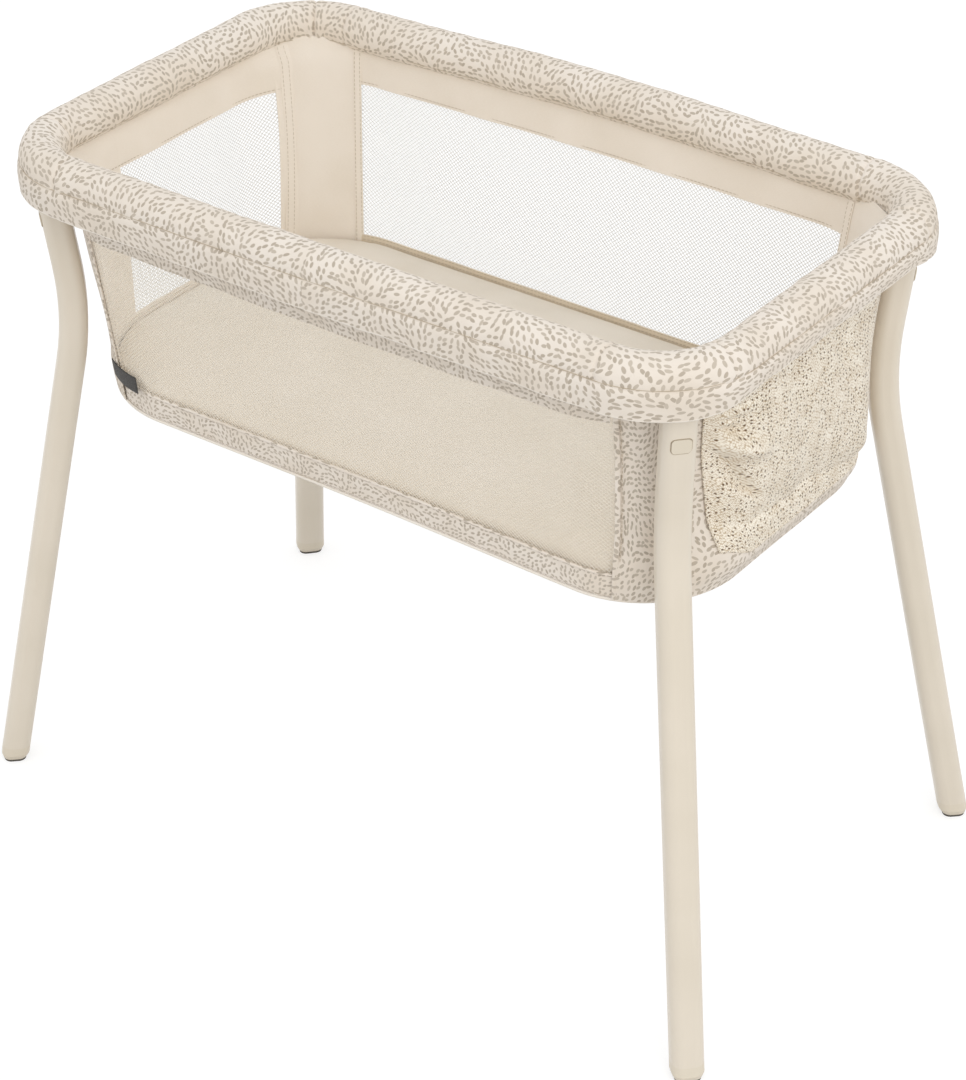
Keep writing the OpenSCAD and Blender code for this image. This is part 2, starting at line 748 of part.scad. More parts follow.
rail_front();
rail_back();
rail_left();
rail_right();
corner_elbow_fl();
corner_elbow_fr();
corner_elbow_bl();
corner_elbow_br();
rail_rivets();
rim_padding();
rim_cover();
mesh_front();
mesh_back();
mesh_left();
end_panel();
corner_panel_fl();
corner_panel_fr();
corner_panel_bl();
corner_panel_br();
pocket();
blank_tag();
floor_cover();
floor_board();
mattress();
leg(-1, -1);  // leg_fl
leg(1, -1);  // leg_fr
leg(-1, 1);  // leg_bl
leg(1, 1);  // leg_br
foot_cap(-1, -1);  // foot_cap_fl
foot_cap(1, -1);  // foot_cap_fr
foot_cap(-1, 1);  // foot_cap_bl
foot_cap(1, 1);  // foot_cap_br
foot_pad(-1, -1);  // foot_pad_fl
foot_pad(1, -1);  // foot_pad_fr
foot_pad(-1, 1);  // foot_pad_bl
foot_pad(1, 1);  // foot_pad_br
release_button(-1, -1);  // release_button_fl
release_button(1, -1);  // release_button_fr
release_button(-1, 1);  // release_button_bl
release_button(1, 1);  // release_button_br
button_spring(-1, -1);  // button_spring_fl
button_spring(1, -1);  // button_spring_fr
button_spring(-1, 1);  // button_spring_bl
button_spring(1, 1);  // button_spring_br
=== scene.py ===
import json
import math

import bpy
import numpy as np
from mathutils import Matrix, Vector


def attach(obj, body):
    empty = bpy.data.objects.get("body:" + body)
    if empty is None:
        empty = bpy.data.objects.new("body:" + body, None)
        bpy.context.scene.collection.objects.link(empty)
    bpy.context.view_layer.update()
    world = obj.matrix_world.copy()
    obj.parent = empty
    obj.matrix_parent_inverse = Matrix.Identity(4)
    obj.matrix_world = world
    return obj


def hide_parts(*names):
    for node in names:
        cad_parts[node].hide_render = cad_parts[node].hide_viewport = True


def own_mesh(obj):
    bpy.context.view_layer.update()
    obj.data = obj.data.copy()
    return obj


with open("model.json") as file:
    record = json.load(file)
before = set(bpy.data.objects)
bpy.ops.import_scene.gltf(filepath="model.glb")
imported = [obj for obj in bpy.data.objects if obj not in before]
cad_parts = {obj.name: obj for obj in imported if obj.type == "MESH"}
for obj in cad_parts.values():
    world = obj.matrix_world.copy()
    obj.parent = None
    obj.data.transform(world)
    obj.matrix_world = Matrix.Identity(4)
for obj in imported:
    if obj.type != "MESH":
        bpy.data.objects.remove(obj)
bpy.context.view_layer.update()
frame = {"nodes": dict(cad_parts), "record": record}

print("frame loaded")


# working helpers


def deselect():
    if bpy.context.mode != "OBJECT":
        bpy.ops.object.mode_set(mode="OBJECT")
    bpy.ops.object.select_all(action="DESELECT")


def pick(piece):
    deselect()
    piece.select_set(True)
    bpy.context.view_layer.objects.active = piece


def applyModifier(piece, kind, **settings):
    pick(piece)
    modifier = piece.modifiers.new(kind.title(), kind)
    for key, value in settings.items():
        setattr(modifier, key, value)
    bpy.ops.object.modifier_apply(modifier=modifier.name)


def readPoints(piece):
    points = np.empty(len(piece.data.vertices) * 3)
    piece.data.vertices.foreach_get("co", points)
    return points.reshape(-1, 3)


def writePoints(piece, points):
    piece.data.vertices.foreach_set("co", np.ascontiguousarray(points, dtype=float).ravel())
    piece.data.update()


def changeUv(piece, change):
    layer = piece.data.uv_layers[0]
    values = np.empty(len(piece.data.loops) * 2)
    layer.data.foreach_get("uv", values)
    layer.data.foreach_set("uv", change(values.reshape(-1, 2)).ravel())


def mapFlat(piece):
    # the map is the piece seen from above, in metres
    order = np.empty(len(piece.data.loops), dtype=int)
    piece.data.loops.foreach_get("vertex_index", order)
    piece.data.uv_layers[0].data.foreach_set("uv", readPoints(piece)[order][:, :2].ravel())


clothArea = {}


def clothGrid(name, cols, rows, place, width, height, closed=False):
    # a flat grid, each corner set down on the body by place(u, v), u and v from 0 to 1
    deselect()
    bpy.ops.mesh.primitive_grid_add(x_subdivisions=cols, y_subdivisions=rows, size=1, location=(0, 0, 0))
    piece = bpy.context.object
    piece.name = name
    piece.data.name = name
    # the grid's own map runs from 0 to 1, and the cloth's pattern wants metres
    changeUv(piece, lambda values: values * (width, height))
    flat = readPoints(piece) + 0.5
    writePoints(piece, place(flat[:, 0], flat[:, 1]))
    if closed:
        editAll(piece)
        bpy.ops.mesh.remove_doubles(threshold=0.00001)
        bpy.ops.mesh.normals_make_consistent(inside=False)
        bpy.ops.object.mode_set(mode="OBJECT")
    clothArea[name] = sum(face.area for face in piece.data.polygons)
    return piece


def cutCloth(piece, width, length, held, *rests):
    # the size that the cloth was cut to before it was sewn on
    area = min(clothArea[piece.name], width * length)
    return piece


def thicken(piece, thickness, offset):
    applyModifier(piece, "SOLIDIFY", thickness=thickness, offset=offset, use_even_offset=False)


def bevel(piece, width, segments):
    applyModifier(piece, "BEVEL", width=width, segments=segments, limit_method="ANGLE",
                  angle_limit=math.radians(60))


def smooth(piece, degrees):
    pick(piece)
    bpy.ops.object.shade_smooth_by_angle(angle=math.radians(degrees), keep_sharp_edges=False)


def dress(piece, material, body, slot, *nodes):
    piece.data.materials.clear()
    piece.data.materials.append(material)
    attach(piece, body)
    if nodes:
        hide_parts(*nodes)
    return piece


def sew(piece, thickness, offset, degrees, material, body, slot, *nodes):
    thicken(piece, thickness, offset)
    smooth(piece, degrees)
    return dress(piece, material, body, slot, *nodes)


def editAll(piece):
    pick(piece)
    bpy.ops.object.mode_set(mode="EDIT")
    bpy.ops.mesh.select_all(action="SELECT")


def joinPieces(name, pieces):
    deselect()
    for piece in pieces:
        piece.select_set(True)
    bpy.context.view_layer.objects.active = pieces[0]
    bpy.ops.object.join()
    joined = bpy.context.object
    joined.name = name
    joined.data.name = name
    return joined


def ripple(run, *waves):
    # slow uneven waves of hand-sewn cloth: each wave is (length, height, phase)
    total = np.zeros_like(np.asarray(run, dtype=float))
    for length, height, phase in waves:
        total = total + height * np.sin(2 * math.pi * run / length + phase)
    return total


def unit(vectors):
    return vectors / np.linalg.norm(vectors, axis=1)[:, None]


def ease(low, high, value):
    t = np.clip((value - low) / (high - low), 0, 1)
    return t * t * (3 - 2 * t)


# materials


def addNode(tree, kind, inputs=None, **settings):
    made = tree.nodes.new(kind)
    for key, value in settings.items():
        setattr(made, key, value)
    for key, value in (inputs or {}).items():
        socket = made.inputs[key]
        if isinstance(value, bpy.types.NodeSocket):
            tree.links.new(value, socket)
        else:
            socket.default_value = value
    return made


def calc(tree, operation, first, second=0.0, third=0.0, clamp=False):
    inputs = {0: first, 1: second, 2: third}
    return addNode(tree, "ShaderNodeMath", inputs, operation=operation, use_clamp=clamp).outputs[0]


def vectorCalc(tree, operation, first, second=(0, 0, 0)):
    made = addNode(tree, "ShaderNodeVectorMath", {0: first, 1: second}, operation=operation)
    return made.outputs["Value"] if operation in ("DOT_PRODUCT", "LENGTH") else made.outputs["Vector"]


def step(tree, value, low, high):
    return addNode(tree, "ShaderNodeMapRange", {"Value": value, "From Min": low, "From Max": high},
                   interpolation_type="SMOOTHSTEP").outputs["Result"]


def blendColour(tree, factor, first, second):
    return addNode(tree, "ShaderNodeMix", {0: factor, 6: first, 7: second}, data_type="RGBA").outputs[2]


def srgb(red, green, blue):
    shares = (red / 255, green / 255, blue / 255)
    return (*[c / 12.92 if c <= 10 / 255 else ((c + 0.055) / 1.055) ** 2.4 for c in shares], 1.0)


def newMaterial(name, roughness, sheen=0.0, specular=0.5, coat=0.0, metallic=0.0):
    material = bpy.data.materials.new(name)
    material.use_nodes = True
    tree = material.node_tree
    shader = tree.nodes["Principled BSDF"]
    for key, value in [("Roughness", roughness), ("Sheen Weight", sheen), ("Sheen Roughness", 0.5),
                       ("Specular IOR Level", specular), ("Coat Weight", coat), ("Metallic", metallic)]:
        shader.inputs[key].default_value = value
    return material, tree, shader


def uvMetres(tree):
    return addNode(tree, "ShaderNodeUVMap").outputs["UV"]


def objectMetres(tree):
    return addNode(tree, "ShaderNodeTexCoord").outputs["Object"]


def noiseOn(tree, place, scale, detail, dimensions="3D", output="Fac"):
    inputs = {"Vector": place, "Scale": scale, "Detail": detail}
    return addNode(tree, "ShaderNodeTexNoise", inputs, noise_dimensions=dimensions).outputs[output]


def cellsOn(tree, place, size, randomness):
    inputs = {"Vector": place, "Scale": 1 / size, "Randomness": randomness}
    return addNode(tree, "ShaderNodeTexVoronoi", inputs, voronoi_dimensions="2D", feature="F1")


def wanderOn(tree, place, scale, detail, reach):
    # the place, pushed to and fro by noise
    noise = noiseOn(tree, place, scale, detail, "2D", "Color")
    centred = vectorCalc(tree, "SUBTRACT", noise, (0.5, 0.5, 0.5))
    return vectorCalc(tree, "ADD", place, vectorCalc(tree, "MULTIPLY", centred, (reach, reach, 0)))


def turnOn(tree, place, angle):
    return addNode(tree, "ShaderNodeVectorRotate", {"Vector": place, "Angle": angle},
                   rotation_type="Z_AXIS").outputs["Vector"]


def weaveOn(tree, place, pitch):
    # height of a plain weave: two families of threads, one over the other in turn
    parts = addNode(tree, "ShaderNodeSeparateXYZ", {"Vector": place})
    turn = 2 * math.pi / pitch
    across = calc(tree, "SINE", calc(tree, "MULTIPLY", parts.outputs["X"], turn))
    along = calc(tree, "SINE", calc(tree, "MULTIPLY", parts.outputs["Y"], turn))
    return calc(tree, "MULTIPLY", across, along)


def bumpInto(tree, shader, height, distance, strength=1.0):
    bump = addNode(tree, "ShaderNodeBump", {"Height": height, "Distance": distance, "Strength": strength})
    tree.links.new(bump.outputs["Normal"], shader.inputs["Normal"])


printedLook = {
    "ground": srgb(238, 229, 218),
    "groundShade": srgb(231, 220, 206),
    "leaf": srgb(186, 174, 158),
    "leafShade": srgb(203, 192, 177),
    "leafPitch": 0.0067,      # metres from one leaf to the next
    "leafLength": 0.0032,     # half of a leaf
    "leafWidth": 0.00156,     # half of a leaf
    "burst": 0.085,           # metres across one burst of leaves
    "swirl": 3.6,             # how far slow noise turns the leaves, radians
    "spread": 1.1,            # how far chance turns them, radians
    "wobble": 0.0025,         # how far noise moves their outlines, metres
    "loose": 0.64,            # how unevenly the leaves lie
    "looseBurst": 0.9,
    "taper": 0.55,
    "edge": (-0.00018, 0.00022),
    "weavePitch": 0.0009,
    "bump": 0.00012,
}


def leafPrint(tree, place, look):
    # small blunt leaves in loose bursts: each leaf points away from the middle of its burst
    place = wanderOn(tree, place, 60.0, 1.0, look["wobble"])
    cell = cellsOn(tree, place, look["leafPitch"], look["loose"])
    middle = cell.outputs["Position"]
    burst = cellsOn(tree, middle, look["burst"], look["looseBurst"])
    away = vectorCalc(tree, "SUBTRACT", middle, burst.outputs["Position"])
    chance = addNode(tree, "ShaderNodeSeparateColor", {"Color": cell.outputs["Color"]})
    slow = noiseOn(tree, middle, 11.0, 0.0, "2D")
    drift = calc(tree, "MULTIPLY_ADD", slow, look["swirl"], -look["swirl"] / 2)
    spread = calc(tree, "MULTIPLY_ADD", chance.outputs["Red"], look["spread"], -look["spread"] / 2)
    heading = vectorCalc(tree, "NORMALIZE", turnOn(tree, away, calc(tree, "ADD", drift, spread)))
    side = vectorCalc(tree, "CROSS_PRODUCT", (0, 0, 1), heading)
    offset = vectorCalc(tree, "SUBTRACT", place, middle)
    size = calc(tree, "MULTIPLY_ADD", chance.outputs["Green"], 0.30, 0.80)
    along = calc(tree, "DIVIDE", vectorCalc(tree, "DOT_PRODUCT", offset, heading),
                 calc(tree, "MULTIPLY", size, look["leafLength"]))
    across = calc(tree, "ABSOLUTE", vectorCalc(tree, "DOT_PRODUCT", offset, side))
    taper = calc(tree, "SUBTRACT", 1.0, calc(tree, "MULTIPLY", along, along), clamp=True)
    taper = calc(tree, "POWER", taper, look["taper"])
    room = calc(tree, "SUBTRACT", calc(tree, "MULTIPLY", taper, look["leafWidth"]), across)
    return step(tree, room, *look["edge"]), chance.outputs["Blue"]


def makePrintedCloth(name, grow=1.0):
    material, tree, shader = newMaterial(name, 0.85, sheen=0.1, specular=0.25)
    place = vectorCalc(tree, "MULTIPLY", uvMetres(tree), (grow, grow, 1))
    look = printedLook        # grow above 1 makes the print smaller
    leaf, chance = leafPrint(tree, place, look)
    cloud = noiseOn(tree, place, 14.0, 2.0, "2D")
    ground = blendColour(tree, step(tree, cloud, 0.3, 0.75), look["ground"], look["groundShade"])
    ink = blendColour(tree, chance, look["leaf"], look["leafShade"])
    tree.links.new(blendColour(tree, leaf, ground, ink), shader.inputs["Base Color"])
    weave = weaveOn(tree, place, look["weavePitch"])
    fuzz = noiseOn(tree, place, 900.0, 2.0, "2D")
    height = calc(tree, "ADD", calc(tree, "MULTIPLY", weave, 0.35), fuzz)
    bumpInto(tree, shader, height, look["bump"], 0.6)
    return material


def makePlainCloth(name, light, dark, weavePitch=0.0008, roughness=0.8):
    material, tree, shader = newMaterial(name, roughness, sheen=0.15, specular=0.3)
    place = uvMetres(tree)
    cloud = noiseOn(tree, place, 11.0, 3.0, "2D")
    threads = noiseOn(tree, vectorCalc(tree, "MULTIPLY", place, (300.0, 2400.0, 1.0)), 1.0, 1.0, "2D")
    shade = calc(tree, "MULTIPLY_ADD", threads, 0.35, calc(tree, "MULTIPLY", cloud, 0.65))
    tree.links.new(blendColour(tree, step(tree, shade, 0.3, 0.72), light, dark), shader.inputs["Base Color"])
    bumpInto(tree, shader, calc(tree, "ADD", weaveOn(tree, place, weavePitch), threads), 0.0001, 0.5)
    return material


knitLook = {
    "light": srgb(255, 248, 234),
    # dark: uneven tone of the yarn, and the painted shade in the gaps between the stitches
    "dark": srgb(195, 174, 144),
    # painted shade seen through the holes of the knit
    "hole": srgb(112, 88, 60),
    "stitch": 0.0016,         # metres across one stitch
    "stretch": 0.60,          # a stitch is longer than wide
    "slant": 0.62,            # radians
    "column": 0.0066,         # metres across a column of one slant
    "holePitch": 0.0056,      # metres from one hole to the next, where there are holes
    "holeEdge": (-0.00125, -0.00075),
    "drift": 0.006,
    "bump": 0.0003,
}


def makeKnit():
    # open knit: short stitches that lean the other way in each next column, with small holes whose dark
    # colour is painted shade
    look = knitLook
    material, tree, shader = newMaterial("knitCloth", 0.85, sheen=0.2, specular=0.25)
    place = uvMetres(tree)
    bent = wanderOn(tree, place, 26.0, 2.0, look["drift"])
    across = addNode(tree, "ShaderNodeSeparateXYZ", {"Vector": bent}).outputs["X"]
    wave = calc(tree, "SINE", calc(tree, "MULTIPLY", across, math.pi / look["column"]))
    slant = calc(tree, "MULTIPLY", calc(tree, "SIGN", wave), look["slant"])
    turned = vectorCalc(tree, "MULTIPLY", turnOn(tree, bent, slant), (1, look["stretch"], 1))
    stitches = cellsOn(tree, turned, look["stitch"], 0.5)
    yarn = calc(tree, "SUBTRACT", 1.0, step(tree, stitches.outputs["Distance"], 0.20, 0.70))
    dots = cellsOn(tree, bent, look["holePitch"], 0.7)
    chance = addNode(tree, "ShaderNodeSeparateColor", {"Color": dots.outputs["Color"]}).outputs["Red"]
    lane = noiseOn(tree, vectorCalc(tree, "MULTIPLY", bent, (70.0, 9.0, 1.0)), 1.0, 1.0, "2D")
    kept = step(tree, calc(tree, "MULTIPLY_ADD", lane, 2.0, chance), 1.29, 1.35)
    inward = calc(tree, "MULTIPLY", dots.outputs["Distance"], -look["holePitch"])
    spot = calc(tree, "MULTIPLY", kept, step(tree, inward, *look["holeEdge"]))
    tone = noiseOn(tree, place, 60.0, 3.0, "2D")
    # the middles of the stitches lighter and the gaps between them darker: painted light and shade on the
    # yarn, with noise for uneven tone
    tone = calc(tree, "MULTIPLY_ADD", tone, 0.5, calc(tree, "MULTIPLY", yarn, 0.6))
    colour = blendColour(tree, step(tree, tone, 0.12, 0.92), look["dark"], look["light"])
    # the holes are painted dark: this stands for the shade seen through them
    tree.links.new(blendColour(tree, spot, colour, look["hole"]), shader.inputs["Base Color"])
    bumpInto(tree, shader, calc(tree, "SUBTRACT", yarn, spot), look["bump"], 0.7)
    return material


def makePaint(name, base, edge, roughness=0.38, coat=0.15):
    # satin finish: a faint grain under a thin clear coat
    material, tree, shader = newMaterial(name, roughness, coat=coat, specular=0.45)
    place = objectMetres(tree)
    cloud = noiseOn(tree, place, 9.0, 2.0)
    tree.links.new(blendColour(tree, step(tree, cloud, 0.35, 0.7), base, edge), shader.inputs["Base Color"])
    bumpInto(tree, shader, noiseOn(tree, place, 700.0, 2.0), 0.00004, 0.35)
    return material


def makeMetal(name, colour, roughness):
    material, tree, shader = newMaterial(name, roughness, metallic=1.0)
    place = objectMetres(tree)
    streak = noiseOn(tree, vectorCalc(tree, "MULTIPLY", place, (40.0, 900.0, 900.0)), 1.0, 2.0)
    dull = tuple(c * 0.75 for c in colour[:3]) + (1.0,)
    tree.links.new(blendColour(tree, streak, colour, dull), shader.inputs["Base Color"])
    bumpInto(tree, shader, streak, 0.00003, 0.3)
    return material


def makeGrain(name, light, dark, stretch, roughness):
    material, tree, shader = newMaterial(name, roughness)
    place = objectMetres(tree)
    grain = noiseOn(tree, vectorCalc(tree, "MULTIPLY", place, stretch), 1.0, 4.0)
    tree.links.new(blendColour(tree, grain, light, dark), shader.inputs["Base Color"])
    bumpInto(tree, shader, grain, 0.0002, 0.4)
    return material


printedCloth = makePrintedCloth("printedCloth")
smallPrint = makePrintedCloth("smallPrint", 1.3)
beigeCloth = makePlainCloth("beigeCloth", srgb(247, 238, 226), srgb(240, 230, 216))
tanBinding = makePlainCloth("tanBinding", srgb(232, 219, 198), srgb(221, 206, 182), 0.0012)
mattressCloth = makePlainCloth("mattressCloth", srgb(240, 231, 217), srgb(232, 222, 206), 0.0011, 0.85)
tagCloth = makePlainCloth("tagCloth", srgb(66, 64, 62), srgb(48, 46, 45), 0.0007, 0.7)
underCloth = makePlainCloth("underCloth", srgb(226, 218, 204), srgb(212, 202, 186), 0.0014, 0.9)
netThread = makePlainCloth("netThread", srgb(240, 240, 238), srgb(233, 233, 230), 0.0006, 0.6)
creamThread = makePlainCloth("creamThread", srgb(250, 243, 231), srgb(242, 233, 217), 0.0006, 0.6)
seamThread = makePlainCloth("seamThread", srgb(204, 190, 168), srgb(184, 168, 144), 0.0006, 0.6)
palePiping = makePlainCloth("palePiping", srgb(247, 241, 232), srgb(238, 229, 216), 0.0008, 0.6)
knitCloth = makeKnit()
creamPaint = makePaint("creamPaint", srgb(229, 219, 203), srgb(224, 214, 197))
creamPlastic = makePaint("creamPlastic", srgb(226, 216, 198), srgb(221, 210, 191), 0.45, 0.05)
slotLooks = {
    "cream_paint": creamPaint,
    "cream_plastic": creamPlastic,
    "steel_tube": makeMetal("steelTube", (0.56, 0.56, 0.57, 1.0), 0.32),
    "white_plastic": makePaint("whitePlastic", srgb(236, 234, 229), srgb(228, 226, 220), 0.5, 0.0),
    "foam": makeGrain("foam", srgb(240, 238, 230), srgb(222, 219, 208), (500.0, 500.0, 500.0), 0.95),
    "printed_cloth": printedCloth,
    "beige_cloth": beigeCloth,
    "mesh_net": netThread,
    "knit": knitCloth,
    "mattress_cloth": mattressCloth,
    "tag_cloth": tagCloth,
    "board": makeGrain("boardFibre", srgb(196, 170, 130), srgb(160, 132, 94), (30.0, 600.0, 600.0), 0.8),
    "rubber": makeGrain("rubber", srgb(92, 86, 78), srgb(70, 65, 59), (300.0, 300.0, 300.0), 0.75),
    "spring_steel": makeMetal("springSteel", (0.62, 0.62, 0.63, 1.0), 0.22),
}
slotOfNode = {part["node"]: part["material_slot"] for part in frame["record"]["subparts"]}
for name, cadNode in frame["nodes"].items():
    cadNode.data.materials.clear()
    cadNode.data.materials.append(slotLooks[slotOfNode[name]])
print("materials made")


# shape of the rim and of the hanging cloth body


rim = {
    "halfLength": 0.390,
    "halfWidth": 0.218,
    "cornerRadius": 0.080,
    "height": 0.709,
    "bow": 0.0065,            # how far a long side swells outwards
    "arch": 0.0035,           # how far a long side rises in the middle
    "rollRadius": 0.0221,
}


def ringPath(halfLength, halfWidth, radius, bow=0.0, arch=0.0, count=2400, leftRadius=None):
    # closed path round a rounded rectangle, from the middle of the front side towards +X
    straightX, straightY = halfLength - radius, halfWidth - radius
    turn = np.linspace(0, 1, 161)
    arcs = []
    for sx, sy, start in [(1, -1, -90), (1, 1, 0), (-1, 1, 90), (-1, -1, 180)]:
        r = leftRadius if sx < 0 and leftRadius else radius
        angle = np.radians(start + 90 * turn)
        arcs.append(np.column_stack([sx * (halfLength - r) + r * np.cos(angle),
                                     sy * (halfWidth - r) + r * np.sin(angle)]))
    parts = []
    for corner, arc in enumerate(arcs):
        parts += [arc, arc[-1] + (arcs[(corner + 1) % 4][0] - arc[-1]) * turn[1:-1, None]]
    points = np.vstack(parts)
    middle = np.argmin(np.abs(points[:, 0]) + 10 * (points[:, 1] > 0))
    points = np.roll(points, -middle, axis=0)
    share = np.clip(1 - (points[:, 0] / straightX) ** 2, 0, 1) ** 2
    onLong = np.abs(points[:, 1]) > straightY
    points[:, 1] += np.sign(points[:, 1]) * bow * share * onLong
    rise = arch * share * onLong
    closed = np.vstack([points, points[:1]])
    length = np.concatenate([[0], np.cumsum(np.hypot(*np.diff(closed, axis=0).T))])
    even = np.linspace(0, length[-1], count + 1)
    x = np.interp(even, length, closed[:, 0])
    y = np.interp(even, length, closed[:, 1])
    z = np.interp(even, length, np.append(rise, rise[0]))
    tangent = unit(np.column_stack([np.roll(run[:-1], -2) - np.roll(run[:-1], 2) for run in (x, y)]))
    normal = np.column_stack([tangent[:, 1], -tangent[:, 0]])
    normal = np.vstack([normal, normal[:1]])
    return {"u": even / length[-1], "x": x, "y": y, "z": z, "nx": normal[:, 0], "ny": normal[:, 1],
            "length": length[-1]}


def onRing(ring, u):
    u = np.mod(u, 1.0)
    return [np.interp(u, ring["u"], ring[key]) for key in ("x", "y", "z", "nx", "ny")]


def ringShare(ring, x, y):
    # share of the way round at which the path passes nearest to a point
    return float(ring["u"][np.argmin(np.hypot(ring["x"] - x, ring["y"] - y))])


rimRing = ringPath(rim["halfLength"], rim["halfWidth"], rim["cornerRadius"], rim["bow"], rim["arch"])

body = {
    "topHeight": 0.6871,
    "topHalfLength": 0.384,
    "topHalfWidth": 0.212,
    "slope": 0.0944,          # the walls draw in towards the floor
    "frontSeam": (0.2985, 0.3088),    # corner seams of the front wall, low and high
    "backSeam": (0.2850, 0.2994),     # corner seams of the rear wall, low and high
    "endSeam": (0.142, 0.170),        # corner seams of an end wall, low and high
    "seamLow": 0.470,
    "seamHigh": 0.687,
    "radiusHeights": (0.455, 0.470, 0.520, 0.600, 0.690),
    "radii": (0.101, 0.103, 0.121, 0.128, 0.118),
    "leftRadii": (0.119, 0.119, 0.118, 0.116, 0.112),
    "flare": 0.0065,          # at the ends the top edge turns out to meet the roll
    "flareHeights": (0.674, 0.699),
    "bowHeights": (0.52, 0.70),
    "longSag": 0.0016,        # how far a wall hangs inwards at half height
    "longSagSpan": 0.62,
    "endSag": 0.0045,
    "flatHeights": (0.468, 0.52, 0.66, 0.70),
    "flatShares": (0.0, 0.44, 0.47, 0.36),      # how flat a corner cloth is drawn, by height
    "baseSag": (0.0012, 0.0062),                # everywhere, and more towards the end with the pocket
    "baseSagFrom": (-0.05, 0.35),
    "footFlare": 0.0020,
    "footFlareHeights": (0.482, 0.502),
    "endPuff": 0.0115,
    "endPuffReach": 0.142,
    "lift": "floor_lift",
    "keep": 0.386,            # share of a wall's height that is left when the floor is up
}


def halfSizes(z, onLeft=False):
    drawn = body["slope"] * (body["topHeight"] - z)
    radius = np.where(onLeft, np.interp(z, body["radiusHeights"], body["leftRadii"]),
                      np.interp(z, body["radiusHeights"], body["radii"]))
    flare = body["flare"] * ease(*body["flareHeights"], z)
    return body["topHalfLength"] - drawn + flare, body["topHalfWidth"] - drawn, radius


def wallShare(z):
    # 0 at the foot of a wall and 1 at its top
    return (z - body["seamLow"]) / (body["seamHigh"] - body["seamLow"])


def seamAt(seam, z):
    low, high = body[seam]
    return low + (high - low) * np.clip(wallShare(z), -0.1, 1.1)


def seamX(side, z):
    return seamAt("frontSeam" if side < 0 else "backSeam", z)


def seamY(z):
    return seamAt("endSeam", z)


def roundedDepth(run, half, reach, radius):
    over = np.maximum(0, np.abs(run) - (reach - radius))
    return half - radius + np.sqrt(np.maximum(radius ** 2 - over ** 2, 0))


def bowAt(x, z):
    # the cloth follows the swell of the rim at its top and not at its foot
    straight = rim["halfLength"] - rim["cornerRadius"]
    share = np.clip(1 - (x / straight) ** 2, 0, 1) ** 2
    return rim["bow"] * share * ease(*body["bowHeights"], z)


def wallSag(z):
    return np.sin(math.pi * np.clip(wallShare(z), 0, 1))


def longWall(side, x, z, lift=0.0):
    # side is -1 for the front and 1 for the rear; lift is outwards
    a, b, radius = halfSizes(z, x < 0)
    y = roundedDepth(x, b, a, radius) + bowAt(x, z)
    sag = body["longSag"] * wallSag(z) * np.cos(math.pi * x / body["longSagSpan"])
    return np.column_stack([x + 0 * z, side * (y - sag + lift), z + 0 * x])


def endWall(side, y, z, lift=0.0):
    a, b, radius = halfSizes(z, side < 0)
    x = roundedDepth(y, a, b, radius)
    return np.column_stack([side * (x - body["endSag"] * wallSag(z) + lift), y + 0 * z, z + 0 * y])


def cornerWall(sx, sy, p, z, lift=0.0):
    # p runs from the long wall's seam (0) to the end wall's seam (1)
    a, b, radius = halfSizes(z, sx < 0)
    x0 = seamX(sy, z)
    y1 = seamY(z)
    y0 = longWall(1, sx * x0, z)[:, 1]
    x1 = np.abs(endWall(sx, y1, z)[:, 0])
    cx, cy = a - radius, b - radius
    start = np.arctan2(y0 - cy, x0 - cx)
    stop = np.arctan2(y1 - cy, x1 - cx)
    turn = start + (stop - start) * p
    reach = np.hypot(x0 - cx, y0 - cy) * (1 - p) + np.hypot(x1 - cx, y1 - cy) * p
    arcX, arcY = cx + reach * np.cos(turn), cy + reach * np.sin(turn)
    flat = np.interp(z, body["flatHeights"], body["flatShares"])
    x = arcX * (1 - flat) + (x0 * (1 - p) + x1 * p) * flat
    y = arcY * (1 - flat) + (y0 * (1 - p) + y1 * p) * flat
    nx, ny = np.cos(turn), np.sin(turn)
    return np.column_stack([sx * (x + lift * nx), sy * (y + lift * ny), z])


def bandSag(x):
    # the soft base hangs a little lower than its board, most towards the end with the pocket
    everywhere, more = body["baseSag"]
    return everywhere + more * ease(*body["baseSagFrom"], x)


def footFlare(z):
    # the outer cloth goes round the outside of the floor's band
    return body["footFlare"] * (1 - ease(*body["footFlareHeights"], z))


def endPuff(y, z):
    # the printed cloth under the pocket is pushed out with it
    across = np.clip(1 - np.abs(y / body["endPuffReach"]) ** 6, 0, 1)
    return body["endPuff"] * across * ease(0.4477, 0.474, z) * (1 - ease(0.492, 0.532, z))


corners = {"Fl": (-1, -1), "Fr": (1, -1), "Bl": (-1, 1), "Br": (1, 1)}


def hang(piece):
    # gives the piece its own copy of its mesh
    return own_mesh(piece)


# padded rim


rollSpec = {
    "around": 56,
    "along": 640,
    "crossSeams": [(-0.347, 0.198), (-0.310, 0.218), (0.310, -0.218), (0.385, -0.160), (0.310, 0.218),
                   (0.388, 0.150), (-0.310, -0.218), (-0.385, -0.160)],
    "seamWidth": 0.0014,
    "seamDepth": 0.0013,
    "mapStart": 125,          # degrees below outwards at which the grid starts
    "crease": 0.0007,         # depth and length of the creases inside the corners
    "creaseLength": 0.0135,
    "gatherReach": 0.006,     # the grid is finer this near to a cross seam, so many times
    "gather": 5.0,
    "waves": ((0.171, 0.00022, 0.4), (0.083, 0.00014, 2.1)),
    "threadRadius": 0.00034,
}
seamShares = [ringShare(rimRing, x, y) for x, y in rollSpec["crossSeams"]]


def seamDistance(u, share):
    return np.abs(np.mod(u - share + 0.5, 1.0) - 0.5) * rimRing["length"]


